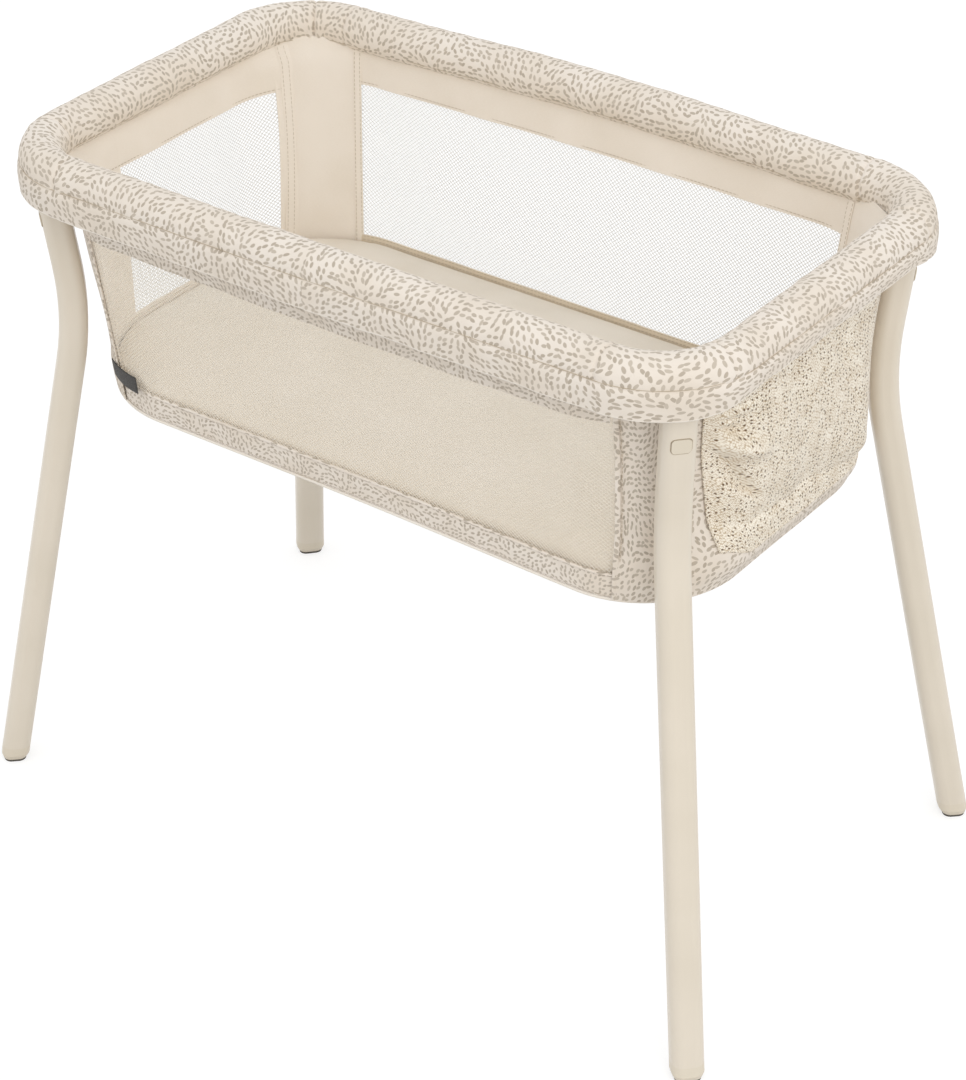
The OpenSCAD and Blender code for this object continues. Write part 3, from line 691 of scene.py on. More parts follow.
def placeRoll(u, v):
    x, y, z, nx, ny = onRing(rimRing, u)
    angle = 2 * math.pi * v - math.radians(rollSpec["mapStart"])
    run = u * rimRing["length"]
    radius = rim["rollRadius"] + ripple(run, *rollSpec["waves"])
    radius = radius + 0.00018 * np.sin(2 * math.pi * run / 0.031 + 3 * angle)
    inner = np.clip(-np.cos(angle), 0, 1) ** 2
    cornerTurn = np.abs(nx * ny) * 2
    crease = rollSpec["crease"] * (1 + np.sin(2 * math.pi * run / rollSpec["creaseLength"]))
    radius = radius - inner * cornerTurn * crease
    for share in seamShares:
        gap = seamDistance(u, share)
        radius = radius - rollSpec["seamDepth"] * np.exp(-(gap / rollSpec["seamWidth"]) ** 2)
        radius = radius + 0.0005 * np.exp(-((gap - 0.006) / 0.004) ** 2)
        radius = radius + 0.0004 * np.exp(-(gap / 0.012) ** 2) * np.sin(9 * angle + 40 * share)
    out, up = radius * np.cos(angle), radius * np.sin(angle)
    return np.column_stack([x + nx * out, y + ny * out, rim["height"] + z + up])


def gathered(u):
    # draws the grid's columns together at the cross seams
    fine = np.linspace(0, 1, 8001)
    weight = np.ones_like(fine)
    for share in seamShares:
        gap = seamDistance(fine, share)
        weight += rollSpec["gather"] * np.exp(-(gap / rollSpec["gatherReach"]) ** 2)
    total = np.concatenate([[0], np.cumsum((weight[1:] + weight[:-1]) / 2)])
    return np.interp(u, total / total[-1], fine)


rimRoll = clothGrid("rimRoll", rollSpec["along"], rollSpec["around"], lambda u, v: placeRoll(gathered(u), v),
                    rimRing["length"], 2 * math.pi * rim["rollRadius"], closed=True)


def alongCloth(values):
    # the map's length follows the cloth and not the gathered columns
    return np.column_stack([gathered(values[:, 0] / rimRing["length"]) * rimRing["length"], values[:, 1]])


changeUv(rimRoll, alongCloth)
smooth(rimRoll, 60)
dress(rimRoll, printedCloth, "rim", "printed_cloth", "rim_cover", "rim_padding")

skirtSpec = {
    "drop": 0.0312,           # from the rim's centreline to the hem
    "endDrop": 0.0195,        # the same over the middle of an end
    "thickness": 0.0014,
    "cols": 520,
    "rows": 14,
    "startAngle": -6,
    "hem": 0.004,
    "cord": 0.0009,
    "nick": 0.0009,           # depth and half width of the dips at the cross seams
    "nickWidth": 0.0016,
    "waves": ((0.118, 0.0005, 0.3), (0.067, 0.0004, 1.9), (0.031, 0.00025, 0.8)),
    "profile": ((0, 0.05, 0.15, 0.4, 0.7, 1.0), (-0.0016, -0.0002, 0.0011, 0.0016, 0.0010, 0.0000)),
}


def skirtDrop(x, y):
    ending = ease(0.33, 0.40, np.abs(x)) * (1 - ease(0.12, 0.20, np.abs(y)))
    return skirtSpec["drop"] + (skirtSpec["endDrop"] - skirtSpec["drop"]) * ending


def placeSkirt(u, v):
    # v runs from the seam on the roll down to the hem
    x, y, z, nx, ny = onRing(rimRing, u)
    run = u * rimRing["length"]
    radius = rim["rollRadius"]
    start = radius * math.sin(math.radians(-skirtSpec["startAngle"]))
    drop = start + (skirtDrop(x, y) - start) * v
    bulge = np.interp(v, *skirtSpec["profile"])
    bulge = bulge + v * ripple(run, *skirtSpec["waves"])
    for share in seamShares:
        bulge = bulge - skirtSpec["nick"] * np.exp(-(seamDistance(u, share) / skirtSpec["nickWidth"]) ** 2)
    out = radius + bulge
    return np.column_stack([x + nx * out, y + ny * out, rim["height"] + z - drop])


skirt = clothGrid("rimSkirt", skirtSpec["cols"], skirtSpec["rows"], lambda u, v: placeSkirt(u, 1 - v),
                  rimRing["length"], skirtSpec["drop"], closed=True)
sew(skirt, skirtSpec["thickness"], 0.0, 50, printedCloth, "rim", "printed_cloth")
cutCloth(skirt, rimRing["length"], skirtSpec["drop"] + skirtSpec["hem"], "hung", "rimRoll")


def capEnds(piece):
    pick(piece)
    bpy.ops.object.mode_set(mode="EDIT")
    bpy.ops.mesh.select_all(action="DESELECT")
    bpy.ops.mesh.select_non_manifold(extend=False)
    bpy.ops.mesh.fill_holes(sides=0)
    bpy.ops.mesh.select_all(action="SELECT")
    bpy.ops.mesh.normals_make_consistent(inside=False)
    bpy.ops.object.mode_set(mode="OBJECT")


def piping(name, surface, count, radius, lift, material, body, slot, sides=6, closed=True):
    # a thin cord sewn on a surface(t, lift), t from 0 to 1
    def place(u, v):
        centre = surface(u, lift)
        first = unit(surface(u, lift + 0.001) - centre)
        second = unit(np.cross(unit(surface(u + 0.0005, lift) - centre), first))
        angle = 2 * math.pi * v
        return centre + first * (radius * np.cos(angle))[:, None] + second * (radius * np.sin(angle))[:, None]
    piece = clothGrid(name, count, sides, place, 1.0, 2 * math.pi * radius, closed=True)
    if not closed:
        capEnds(piece)
    smooth(piece, 80)
    return dress(piece, material, body, slot)


def hemLine(t, lift):
    x, y, z, nx, ny = onRing(rimRing, t)
    edge = placeSkirt(t, np.ones_like(t))
    return edge + np.column_stack([nx * lift, ny * lift, np.zeros_like(t) - 0.0002])


piping("hemPiping", hemLine, skirtSpec["cols"], skirtSpec["cord"], 0.0, palePiping, "rim", "printed_cloth")


def rollLine(angle, sink):
    # a line on the roll, its angle from outwards, upwards counted as more
    def line(t, lift):
        x, y, z, nx, ny = onRing(rimRing, t)
        radius = rim["rollRadius"] - sink + lift
        out, up = radius * math.cos(math.radians(angle)), radius * math.sin(math.radians(angle))
        return np.column_stack([x + nx * out, y + ny * out, rim["height"] + z + up])
    return line


# rollSeam: a tan cord in the crevice between roll and skirt, for the seam's thread and painted shade of the
# crevice; linerSeam: the stitches where the lining meets the roll
for name, angle, sink in [("rollSeam", -4.0, -0.0002), ("linerSeam", 211.0, 0.0001)]:
    piping(name, rollLine(angle, sink), skirtSpec["cols"], rollSpec["threadRadius"], 0.0, seamThread, "rim",
           "printed_cloth")
print("rim made")


# stitches


stitchSpec = {"length": 0.0030, "gap": 0.0016, "width": 0.00075, "height": 0.00045}


def stitchRow(surface, length, lift, inside=False):
    # one stitch is modelled once and set down again and again along a seam
    spec = stitchSpec
    deselect()
    bpy.ops.mesh.primitive_cylinder_add(vertices=6, radius=0.5, depth=1, location=(0, 0, 0),
                                        rotation=(0, math.pi / 2, 0), end_fill_type="NGON")
    bpy.ops.object.transform_apply(location=True, rotation=True, scale=True)
    stitch = bpy.context.object
    model = readPoints(stitch)
    ends = np.abs(model[:, 0]) > 0.4
    model[ends, 2] = model[ends, 2] * 0.5 - 0.35
    count = max(1, int(length / (spec["length"] + spec["gap"])))
    applyModifier(stitch, "ARRAY", count=count, use_relative_offset=False, use_constant_offset=True,
                  constant_offset_displace=(10, 0, 0))
    points = np.tile(model, (count, 1))
    order = np.repeat(np.arange(count), len(model))
    centre = (order + 0.5) / count
    t = centre + points[:, 0] * spec["length"] / length
    base = surface(t, lift + 0 * t)
    raised = surface(t, lift + 0.001 + 0 * t)
    ahead = surface(t + 0.0004, lift + 0 * t)
    up = unit(base - raised if inside else raised - base)
    side = np.cross(unit(ahead - base), up)
    across, tall = points[:, 1] * spec["width"], points[:, 2] * spec["height"]
    writePoints(stitch, base + side * across[:, None] + up * tall[:, None])
    if not stitch.data.uv_layers:
        stitch.data.uv_layers.new()
    return stitch


# corner cloths, printed outside and plain inside


cornerSpec = {"top": 0.702, "bottom": 0.4562, "insideBottom": 0.476, "width": 0.092, "cols": 22, "rows": 56,
              "thickness": 0.0010, "insideLift": -0.0026, "hem": 0.012, "tuck": 0.0022, "tuckHeight": 0.652}


def cornerCloths(key, sx, sy):
    spec = cornerSpec
    flip = sx * sy > 0

    def placeOutside(u, v):
        p = 1 - u if flip else u
        low = spec["bottom"] - bandSag(sx * 0.33)
        z = low + v * (spec["top"] - low)
        above = z - spec["tuckHeight"] - 0.010 * (p - 0.3)
        tuck = spec["tuck"] * np.exp(-(above / 0.0035) ** 2) * (1 - ease(0.25, 0.5, p))
        puff = 0.0012 * np.sin(math.pi * p) * np.sin(math.pi * v) * (1 + 0.6 * np.sin(11 * v + 2 * p))
        return cornerWall(sx, sy, p, z, puff + footFlare(z) - (tuck if key == "Fr" else 0.4 * tuck))

    def placeInside(u, v):
        p = u if flip else 1 - u
        z = spec["insideBottom"] + v * (spec["top"] - spec["insideBottom"])
        wave = 0.0007 * np.sin(9 * v + 3 * p) * np.sin(math.pi * p)
        return cornerWall(sx, sy, p, z, spec["insideLift"] + wave)

    tall = spec["top"] - spec["bottom"]
    for name, place, material, slot, hem, nodes in [
            ("cornerCloth", placeOutside, printedCloth, "printed_cloth", spec["hem"],
             ["corner_panel_" + key.lower()]),
            ("cornerLining", placeInside, beigeCloth, "beige_cloth", 0, [])]:
        piece = clothGrid(name + key, spec["cols"], spec["rows"], place, spec["width"], tall)
        sew(piece, spec["thickness"], -1.0, 50, material, "rim", slot, *nodes)
        hang(piece)
        cutCloth(piece, spec["width"], tall + hem, "stretched", "rimRoll")


for key, (sx, sy) in corners.items():
    cornerCloths(key, sx, sy)
print("corner cloths made")


# net windows


netSpec = {"pitch": 0.0031, "angle": 42, "width": 0.00060, "frontWidth": 0.00046, "depth": 0.00030,
           "steps": 14, "lift": -0.0012, "spare": 0.02, "wave": 0.0010, "waveLength": 0.085}


def netPanel(name, node, outline, surface, cut, rests, thread=netThread, width=netSpec["width"]):
    # threads of one direction: one strip repeated by an array and cut off at the panel's edges
    spec = netSpec
    low, high = np.min(outline, axis=0), np.max(outline, axis=0)
    centre = (low + high) / 2
    reach = np.hypot(*(high - low)) + spec["spare"]
    families = []
    for family, turn in enumerate((spec["angle"], -spec["angle"])):
        count = int(reach / spec["pitch"]) + 1
        deselect()
        bpy.ops.mesh.primitive_grid_add(x_subdivisions=spec["steps"], y_subdivisions=1, size=1,
                                        location=(0, 0, 0))
        strip = bpy.context.object
        points = readPoints(strip)
        points[:, 0] *= reach
        points[:, 1] = points[:, 1] * width - (count - 1) * spec["pitch"] / 2
        writePoints(strip, points)
        applyModifier(strip, "ARRAY", count=count, use_relative_offset=False, use_constant_offset=True,
                      constant_offset_displace=(0, spec["pitch"], 0))
        points = readPoints(strip)
        c, s = math.cos(math.radians(turn)), math.sin(math.radians(turn))
        turned = np.column_stack([points[:, 0] * c - points[:, 1] * s + centre[0],
                                  points[:, 0] * s + points[:, 1] * c + centre[1],
                                  np.full(len(points), family * spec["depth"] * 1.1)])
        writePoints(strip, turned)
        bpy.ops.object.mode_set(mode="EDIT")
        for corner in range(len(outline)):
            first, second = outline[corner], outline[(corner + 1) % len(outline)]
            along = second - first
            bpy.ops.mesh.select_all(action="SELECT")
            bpy.ops.mesh.bisect(plane_co=(first[0], first[1], 0), plane_no=(along[1], -along[0], 0),
                                use_fill=False, clear_inner=False, clear_outer=True)
        bpy.ops.object.mode_set(mode="OBJECT")
        families.append(strip)
    net = joinPieces(name, families)
    applyModifier(net, "SOLIDIFY", thickness=spec["depth"], offset=0.0)
    clothArea[name] = sum(face.area for face in net.data.polygons) / 2
    points = readPoints(net)
    writePoints(net, surface(points[:, 0], points[:, 1], points[:, 2]))
    dress(net, thread, "rim", "mesh_net", node)
    hang(net)
    cutCloth(net, *cut, "stretched", *rests)


windows = {
    "frontLeft": 0.4790, "frontRight": 0.4728, "frontTop": 0.690,
    "backBottom": 0.4890, "backTop": 0.664,
    "endBottom": 0.4900, "endTop": 0.656,
    "endFrontLow": 0.093, "endFrontHigh": 0.080, "endRearLow": 0.1300, "endRearHigh": 0.1505,
    "inset": 0.0015,
}


def quad(lowLeft, lowRight, highRight, highLeft):
    return [np.array(p) for p in (lowLeft, lowRight, highRight, highLeft)]


def longWindow(side, left, right, high):
    # the lower edge runs from height left to height right
    leftEdge, rightEdge, highEdge = (float(seamX(side, z)) - windows["inset"] for z in (left, right, high))
    return quad((-leftEdge, left), (rightEdge, right), (highEdge, high), (-highEdge, high))


def netLift(z):
    # the front net slips in behind the top of the floor's band
    return netSpec["lift"] + netSpec["lift"] * (1 - ease(0.480, 0.492, z))


def netWave(y):
    return netSpec["lift"] + netSpec["wave"] * np.sin(2 * math.pi * y / netSpec["waveLength"] + 1.0)


netPanel("frontNet", "mesh_front",
         longWindow(-1, windows["frontLeft"], windows["frontRight"], windows["frontTop"]),
         lambda x, z, lift: longWall(-1, x, z, lift + netLift(z)),
         (0.618, 0.217), ["rimRoll", "floorBand"], creamThread, netSpec["frontWidth"])
netPanel("backNet", "mesh_back",
         longWindow(1, windows["backBottom"], windows["backBottom"], windows["backTop"]),
         lambda x, z, lift: longWall(1, x, z, lift + netSpec["lift"]),
         (0.599, 0.176), ["backTopBand", "backFootBand"])
netPanel("leftNet", "mesh_left",
         quad((-windows["endFrontLow"], windows["endBottom"]), (windows["endRearLow"], windows["endBottom"]),
              (windows["endRearHigh"], windows["endTop"]), (-windows["endFrontHigh"], windows["endTop"])),
         lambda y, z, lift: endWall(-1, y, z, lift + netWave(y)),
         (0.230, 0.168), ["leftTopBand", "leftFootBand"])
print("nets made")


# solid borders, bands and lining of the walls


bandSpec = {
    "thickness": 0.0010,
    "lift": -0.0030,
    "low": 0.470,
    "top": 0.702,
    "measured": 0.699,                  # height at which the end walls' upper reach is taken
    "frontEdge": (-0.0915, -0.0765),    # of the left front panel towards the net, low and high
    "rearEdge": (0.1268, 0.1536),       # of the left rear panel
    "sheetFrom": 0.01,                  # narrower strips are trims and no sheets
    "hems": (1.06, 1.01),               # cut size over sewn size, wide and tall
    "panelHem": 1.1,
}


def wallStrip(name, wall, low, high, reachLow, reachHigh, lift, material, slot, cols, rows, wave=0.0004):
    # a strip of cloth on a wall, from height low to high, its reach from the middle changing with height
    def place(u, v):
        z = low + v * (high - low)
        reach = reachLow + (reachHigh - reachLow) * v
        run = (2 * u - 1) * reach
        return wall(run, z, lift + wave * np.sin(2 * math.pi * run / 0.11 + 5 * v))
    width = 2 * max(reachHigh, reachLow)
    piece = clothGrid(name, cols, rows, place, width, high - low)
    sew(piece, bandSpec["thickness"], 0.0, 50, material, "rim", slot)
    if high - low > bandSpec["sheetFrom"]:
        wide, tall = bandSpec["hems"]
        cutCloth(piece, width * wide, (high - low) * tall, "stretched", "rimRoll")
    return hang(piece)


def wallOf(wall, side):
    return lambda run, z, lift: wall(side, run, z, lift)


frontSide, backSide = wallOf(longWall, -1), wallOf(longWall, 1)
leftSide, rightSide = wallOf(endWall, -1), wallOf(endWall, 1)
for name, wall, seam, low, high, cols, rows in [
        ("backTopBand", backSide, "backSeam", 0.655, bandSpec["top"], 90, 12),
        ("backFootBand", backSide, "backSeam", bandSpec["low"], 0.4905, 60, 4),
        ("frontTopBand", frontSide, "frontSeam", 0.681, bandSpec["top"], 60, 4),
        ("leftTopBand", leftSide, "endSeam", 0.648, bandSpec["top"], 50, 12),
        ("leftFootBand", leftSide, "endSeam", bandSpec["low"], 0.4925, 40, 5)]:
    wallStrip(name, wall, low, high, float(seamAt(seam, low)), float(seamAt(seam, high)), bandSpec["lift"],
              beigeCloth, "beige_cloth", cols, rows)


def sidePanel(name, nearLow, nearHigh, farLow, farHigh):
    # the solid cloth beside the left window, between the corner seam and the net
    tall = bandSpec["top"] - bandSpec["low"]

    def place(u, v):
        z = bandSpec["low"] + v * tall
        near = nearLow + (nearHigh - nearLow) * v
        far = farLow + (farHigh - farLow) * v
        y = near + u * (far - near)
        return leftSide(y, z, bandSpec["lift"] + 0.0007 * np.sin(7 * v + 4 * u))

    piece = clothGrid(name, 12, 44, place, abs(farHigh - nearHigh), tall)
    sew(piece, bandSpec["thickness"], 0.0, 50, beigeCloth, "rim", "beige_cloth")
    width = max(abs(farHigh - nearHigh), abs(farLow - nearLow))
    cutCloth(piece, bandSpec["panelHem"] * width, bandSpec["hems"][1] * tall, "stretched", "rimRoll")
    return hang(piece)


def pushedOut(y, z, lift):
    return rightSide(y, z, lift + footFlare(z) + endPuff(y, z))


endLow, endHigh = float(seamY(bandSpec["low"])), float(seamY(bandSpec["measured"]))
sidePanel("leftFrontPanel", -endLow, -endHigh, *bandSpec["frontEdge"])
sidePanel("leftRearPanel", *bandSpec["rearEdge"], endLow, endHigh)
wallStrip("rightLining", rightSide, bandSpec["low"], bandSpec["top"], endLow, endHigh, bandSpec["lift"],
          beigeCloth, "beige_cloth", 50, 44, 0.0009)
endCloth = wallStrip("endCloth", pushedOut, 0.4477, 0.697, float(seamY(0.459)), float(seamY(0.697)), 0.0,
                     printedCloth, "printed_cloth", 50, 44)
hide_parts("end_panel")
wallStrip("frontTopStrip", frontSide, 0.6435, 0.690, 0.3020, 0.3055, 0.0016, smallPrint, "printed_cloth",
          90, 6, 0.0006)
for name, wall, low, high, reach, lift, material, cols in [
        ("backBinding", backSide, 0.4822, 0.4906, 0.2820, -0.0042, tanBinding, 90),
        ("leftBinding", leftSide, 0.4825, 0.4908, 0.1400, -0.0040, beigeCloth, 40)]:
    wallStrip(name, wall, low, high, reach, reach, lift, material, "beige_cloth", cols, 2, 0.0)
print("wall bands made")


# seam strips at the corners


seamSpec = {
    "top": 0.694,
    "outLow": 0.4560,
    "inLow": 0.478,
    "thickness": 0.0009,
    "outWidth": 0.0040,
    "outLift": 0.0014,
    "outStitch": 0.0034,
    "inWidth": 0.0085,
    "inLift": -0.0037,
    "inAside": {-1: 0.0034, 1: -0.0018},      # at the rear the binding hides the outer strip from within
    "inStitches": (-0.0030, 0.0028),
    "endWidth": 0.0100,
    "endAside": -0.0070,
    "endStitches": (-0.0044, -0.0102),
    "innerStitch": -0.0011,
    "cornerWidth": 0.066,
}
# each level row of stitches: its wall, reach, height and lift
levelRows = [(backSide, 0.281, 0.4858, -0.0049), (backSide, 0.281, 0.4897, -0.0049),
             (backSide, 0.294, 0.6580, -0.0038), (leftSide, 0.138, 0.4888, -0.0047),
             (leftSide, 0.157, 0.6510, -0.0038)]


def levelLine(wall, reach, z):
    return lambda t, lift: wall((2 * t - 1) * reach, z + 0 * t, lift)


def longSeam(sx, sy, across, low):
    # the upright seam of a long wall; across moves it along the wall
    def line(t, lift):
        z = low + t * (seamSpec["top"] - low)
        return longWall(sy, sx * (seamX(sy, z) + across), z, lift)
    return line


def endSeam(sx, sy, across, low):
    def line(t, lift):
        z = low + t * (seamSpec["top"] - low)
        if across < 0:
            return endWall(sx, sy * (seamY(z) + across), z, lift)
        return cornerWall(sx, sy, 1 - across / seamSpec["cornerWidth"] + 0 * t, z, lift)
    return line


def seamStrip(name, lineAt, width, low, material, slot, bulge, lift):
    # a narrow strip: lineAt(across) gives its lines, across in metres
    def place(u, v):
        out = np.empty((len(u), 3))
        for level in np.unique(np.round(u, 5)):
            pickRow = np.abs(u - level) < 1e-4
            line = lineAt((level - 0.5) * width)
            out[pickRow] = line(v[pickRow], lift + bulge * (1 - (2 * level - 1) ** 2))
        return out
    piece = clothGrid(name, 6, 40, place, width, seamSpec["top"] - low)
    sew(piece, seamSpec["thickness"], 0.0, 60, material, "rim", slot)
    return hang(piece)


def cornerSeams(key, sx, sy):
    # the strips along one corner cloth's two seams, and the rows of stitches on them
    spec = seamSpec
    low, outLow = spec["inLow"], spec["outLow"] - bandSag(sx * 0.30)
    aside = spec["inAside"][sy]
    seamStrip("seamPiping" + key, lambda across: longSeam(sx, sy, across, outLow), spec["outWidth"], outLow,
              printedCloth, "printed_cloth", 0.0007, spec["outLift"])
    seamStrip("seamBinding" + key, lambda across: longSeam(sx, sy, across + aside, low), spec["inWidth"], low,
              beigeCloth, "beige_cloth", -0.0005, spec["inLift"])
    seamStrip("endBinding" + key, lambda across: endSeam(sx, sy, across + spec["endAside"], low),
              spec["endWidth"], low, beigeCloth, "beige_cloth", -0.0005, spec["inLift"])
    tall = spec["top"] - low
    inner = spec["inLift"] + spec["innerStitch"]
    rows = [stitchRow(longSeam(sx, sy, spec["outStitch"], outLow), spec["top"] - outLow, spec["outLift"])]
    for across in spec["inStitches"]:
        rows.append(stitchRow(longSeam(sx, sy, aside + across, low), tall, inner + 0.0002, True))
    for across in spec["endStitches"]:
        rows.append(stitchRow(endSeam(sx, sy, across, low), tall, inner, True))
    return rows


stitches = []
for key, (sx, sy) in corners.items():
    stitches += cornerSeams(key, sx, sy)
for wall, reach, z, lift in levelRows:
    stitches.append(stitchRow(levelLine(wall, reach, z), 2 * reach, lift, True))
seamStitches = joinPieces("seamStitches", stitches)
dress(seamStitches, seamThread, "rim", "beige_cloth")
hang(seamStitches)
print("seams made")


# knit pocket


pocketSpec = {"frontLow": -0.120, "frontHigh": -0.154, "rearLow": 0.141, "rearHigh": 0.135,
              "bottom": 0.4865, "top": 0.688, "bulge": 0.0185, "rearBulge": 0.0055,
              "foldStart": (-0.146, 0.616), "valleyEnd": (-0.074, 0.531), "ridgeEnd": (-0.072, 0.582),
              "valleyDepth": 0.0185, "valleyWidth": 0.0130, "ridgeHeight": 0.0110, "ridgeWidth": 0.0085,
              "dent": 0.0065, "dentPlace": (-0.116, 0.624), "pucker": 0.0018, "puckerPlace": (-0.152, 0.640),
              "waves": ((0.070, 0.0011, 0.4), (0.041, 0.0006, 2.0)), "cord": 0.0011, "cordLift": 0.0008,
              "cols": 132, "rows": 104, "thickness": 0.0012, "map": (0.275, 0.215), "cut": (0.330, 0.245)}


def besideLine(y, z, start, end):
    # share of the way along a line on the wall, and the distance above it
    along = np.array(end) - np.array(start)
    reach = np.hypot(*along)
    along = along / reach
    dy, dz = y - start[0], z - start[1]
    return (dy * along[0] + dz * along[1]) / reach, dz * along[0] - dy * along[1]


def placePocket(u, v, extra=0.0):
    spec = pocketSpec
    low = spec["bottom"] + 0.014 * (1 - ease(0.0, 0.16, u)) - 0.0085
    z = low + v * (spec["top"] - low)
    front = spec["frontLow"] + (spec["frontHigh"] - spec["frontLow"]) * v
    back = spec["rearLow"] + (spec["rearHigh"] - spec["rearLow"]) * v
    y = front + u * (back - front)
    rear = ease(0.5, 0.9, u)      # the pocket is fuller and squarer towards its rear edge
    full = 1 - np.abs(2 * u - 1) ** np.where(u > 0.5, 6.0, 3.2)
    climb = np.sin(math.pi / 2 * np.clip(v / (0.40 - 0.26 * rear), 0, 1))
    rise = (spec["bulge"] + spec["rearBulge"] * rear) * full * climb
    rise = rise * (1 - 0.62 * ease(0.55 - 0.35 * rear, 1.0, v))
    # the deep fold that falls from the upper front corner, the ridge above it and the puckers round them
    run, gap = besideLine(y, z, spec["foldStart"], spec["valleyEnd"])
    width = spec["valleyWidth"] * (1 - 0.70 * np.clip(run, 0, 1)) * np.where(gap > 0, 0.6, 1.0)
    fade = ease(-0.10, 0.12, run) * (1 - ease(0.65, 1.10, run))
    rise = rise - spec["valleyDepth"] * fade * np.exp(-(gap / width) ** 2)
    run, gap = besideLine(y, z, spec["foldStart"], spec["ridgeEnd"])
    fade = ease(-0.05, 0.25, run) * (1 - ease(0.55, 1.10, run))
    rise = rise + spec["ridgeHeight"] * fade * np.exp(-((gap - 0.001) / spec["ridgeWidth"]) ** 2)
    dy, dz = y - spec["dentPlace"][0], z - spec["dentPlace"][1]
    rise = rise - spec["dent"] * np.exp(-(dy / 0.011) ** 2 - (dz / 0.008) ** 2)
    dy, dz = y - spec["puckerPlace"][0], z - spec["puckerPlace"][1]
    corner = np.hypot(dy, dz * 0.8)
    turn = np.arctan2(dz, dy)
    rise = rise + spec["pucker"] * np.exp(-((corner - 0.030) / 0.026) ** 2) * np.sin(17 * turn + 0.6)
    rise = rise + ripple(y + z * 0.35, *spec["waves"]) * np.sin(math.pi * u)
    edgeFade = ease(0.0, 0.05, u) * (1 - ease(0.95, 1.0, u)) * ease(0.0, 0.06, v)
    return endWall(1, y, z, 0.0016 + np.maximum(rise * edgeFade, endPuff(y, z) + 0.0004) + extra)


pocket = clothGrid("knitPocket", pocketSpec["cols"], pocketSpec["rows"], placePocket, *pocketSpec["map"])
sew(pocket, pocketSpec["thickness"], 1.0, 60, knitCloth, "rim", "knit", "pocket")
hang(pocket)
cutCloth(pocket, *pocketSpec["cut"], "gathered", "endCloth")


def pocketEdge(t, lift):
    # down the front edge, along the foot and up the rear edge
    u = np.interp(t, [0, 0.3, 0.7, 1], [0, 0, 1, 1])
    v = np.interp(t, [0, 0.3, 0.7, 1], [1, 0, 0, 1])
    return placePocket(u, v, lift)


hang(piping("pocketPiping", pocketEdge, 180, pocketSpec["cord"], pocketSpec["cordLift"], knitCloth, "rim",
            "knit", closed=False))
print("pocket made")


# floor cover with its band


floorSpec = {"halfLength": 0.3625, "halfWidth": 0.1905, "radius": 0.1040, "leftRadius": 0.1200,
             "bottom": 0.4552, "top": 0.4815, "edge": 0.004, "thickness": 0.0014, "cols": 420,
             "edgeShare": 0.45, "underShare": 0.12, "underReach": 0.012, "map": 0.045, "cut": 0.047,
             "lining": 0.0007, "liningMap": 0.02, "liningCut": 0.021}
floorRing = ringPath(floorSpec["halfLength"], floorSpec["halfWidth"], floorSpec["radius"],
                     leftRadius=floorSpec["leftRadius"])


def placeBand(u, v):
    # v runs from under the floor, round its lower edge, up to the top of the band
    x, y, z, nx, ny = onRing(floorRing, u)
    edgeR, edgeShare, underShare = (floorSpec[key] for key in ("edge", "edgeShare", "underShare"))
    run = u * floorRing["length"]
    turn = np.clip(v / edgeShare, 0, 1) * math.pi / 2
    climb = np.clip((v - edgeShare) / (1 - edgeShare), 0, 1)
    flatPart = np.clip(underShare - v, 0, 1) / underShare
    out = -edgeR + edgeR * np.sin(turn) - floorSpec["underReach"] * flatPart
    height = edgeR - edgeR * np.cos(turn)
    height = height + climb * (floorSpec["top"] - floorSpec["bottom"] - edgeR)
    puff = 0.0004 * np.sin(math.pi * climb) * (1 + np.sin(2 * math.pi * run / 0.093))
    out = out + puff
    return np.column_stack([x + nx * out, y + ny * out, floorSpec["bottom"] + height - bandSag(x)])


floorBand = clothGrid("floorBand", floorSpec["cols"], 20, placeBand, floorRing["length"],
                      floorSpec["map"], closed=True)
sew(floorBand, floorSpec["thickness"], -1.0, 60, smallPrint, "floor", "printed_cloth", "floor_cover")
cutCloth(floorBand, floorRing["length"], floorSpec["cut"], "stretched", "floor_board")


def placeBandLining(u, v):
    x, y, z, nx, ny = onRing(floorRing, u)
    inset = floorSpec["thickness"] + 0.0006
    low = floorSpec["bottom"] + 0.0060
    height = low + v * (floorSpec["top"] - low) - bandSag(x) * v
    return np.column_stack([x - nx * inset, y - ny * inset, height])


bandLining = clothGrid("bandLining", 300, 4, placeBandLining, floorRing["length"],
                       floorSpec["liningMap"], closed=True)
sew(bandLining, floorSpec["lining"], 0.0, 60, beigeCloth, "floor", "beige_cloth")
cutCloth(bandLining, floorRing["length"], floorSpec["liningCut"], "stretched", "floorBand")


def placeUnderside(u, v):
    # a sheet under the floor, from its middle out to just inside the band
    x, y, z, nx, ny = onRing(floorRing, u)
    inset = floorSpec["edge"] + 0.004
    px, py = (x - nx * inset) * v, (y - ny * inset) * v
    sag = 0.0006 * np.sin(px * 23) * np.cos(py * 31)
    return np.column_stack([px, py, floorSpec["bottom"] + 0.0006 - bandSag(px) + sag * (1 - v)])


underside = clothGrid("floorUnderside", 160, 14, placeUnderside, 0.6, 0.3, closed=True)
mapFlat(underside)
smooth(underside, 60)
dress(underside, underCloth, "floor", "printed_cloth")
cutCloth(underside, 2 * floorSpec["halfLength"], 2 * floorSpec["halfWidth"], "stretched", "floor_board")


def bandTop(t, lift):
    x, y, z, nx, ny = onRing(floorRing, t)
    return np.column_stack([x + nx * lift, y + ny * lift, floorSpec["top"] - bandSag(x)])


def bandFoot(t, lift):
    x, y, z, nx, ny = onRing(floorRing, t)
    out = lift - 0.0004
    return np.column_stack([x + nx * out, y + ny * out, floorSpec["bottom"] - 0.0003 - bandSag(x)])


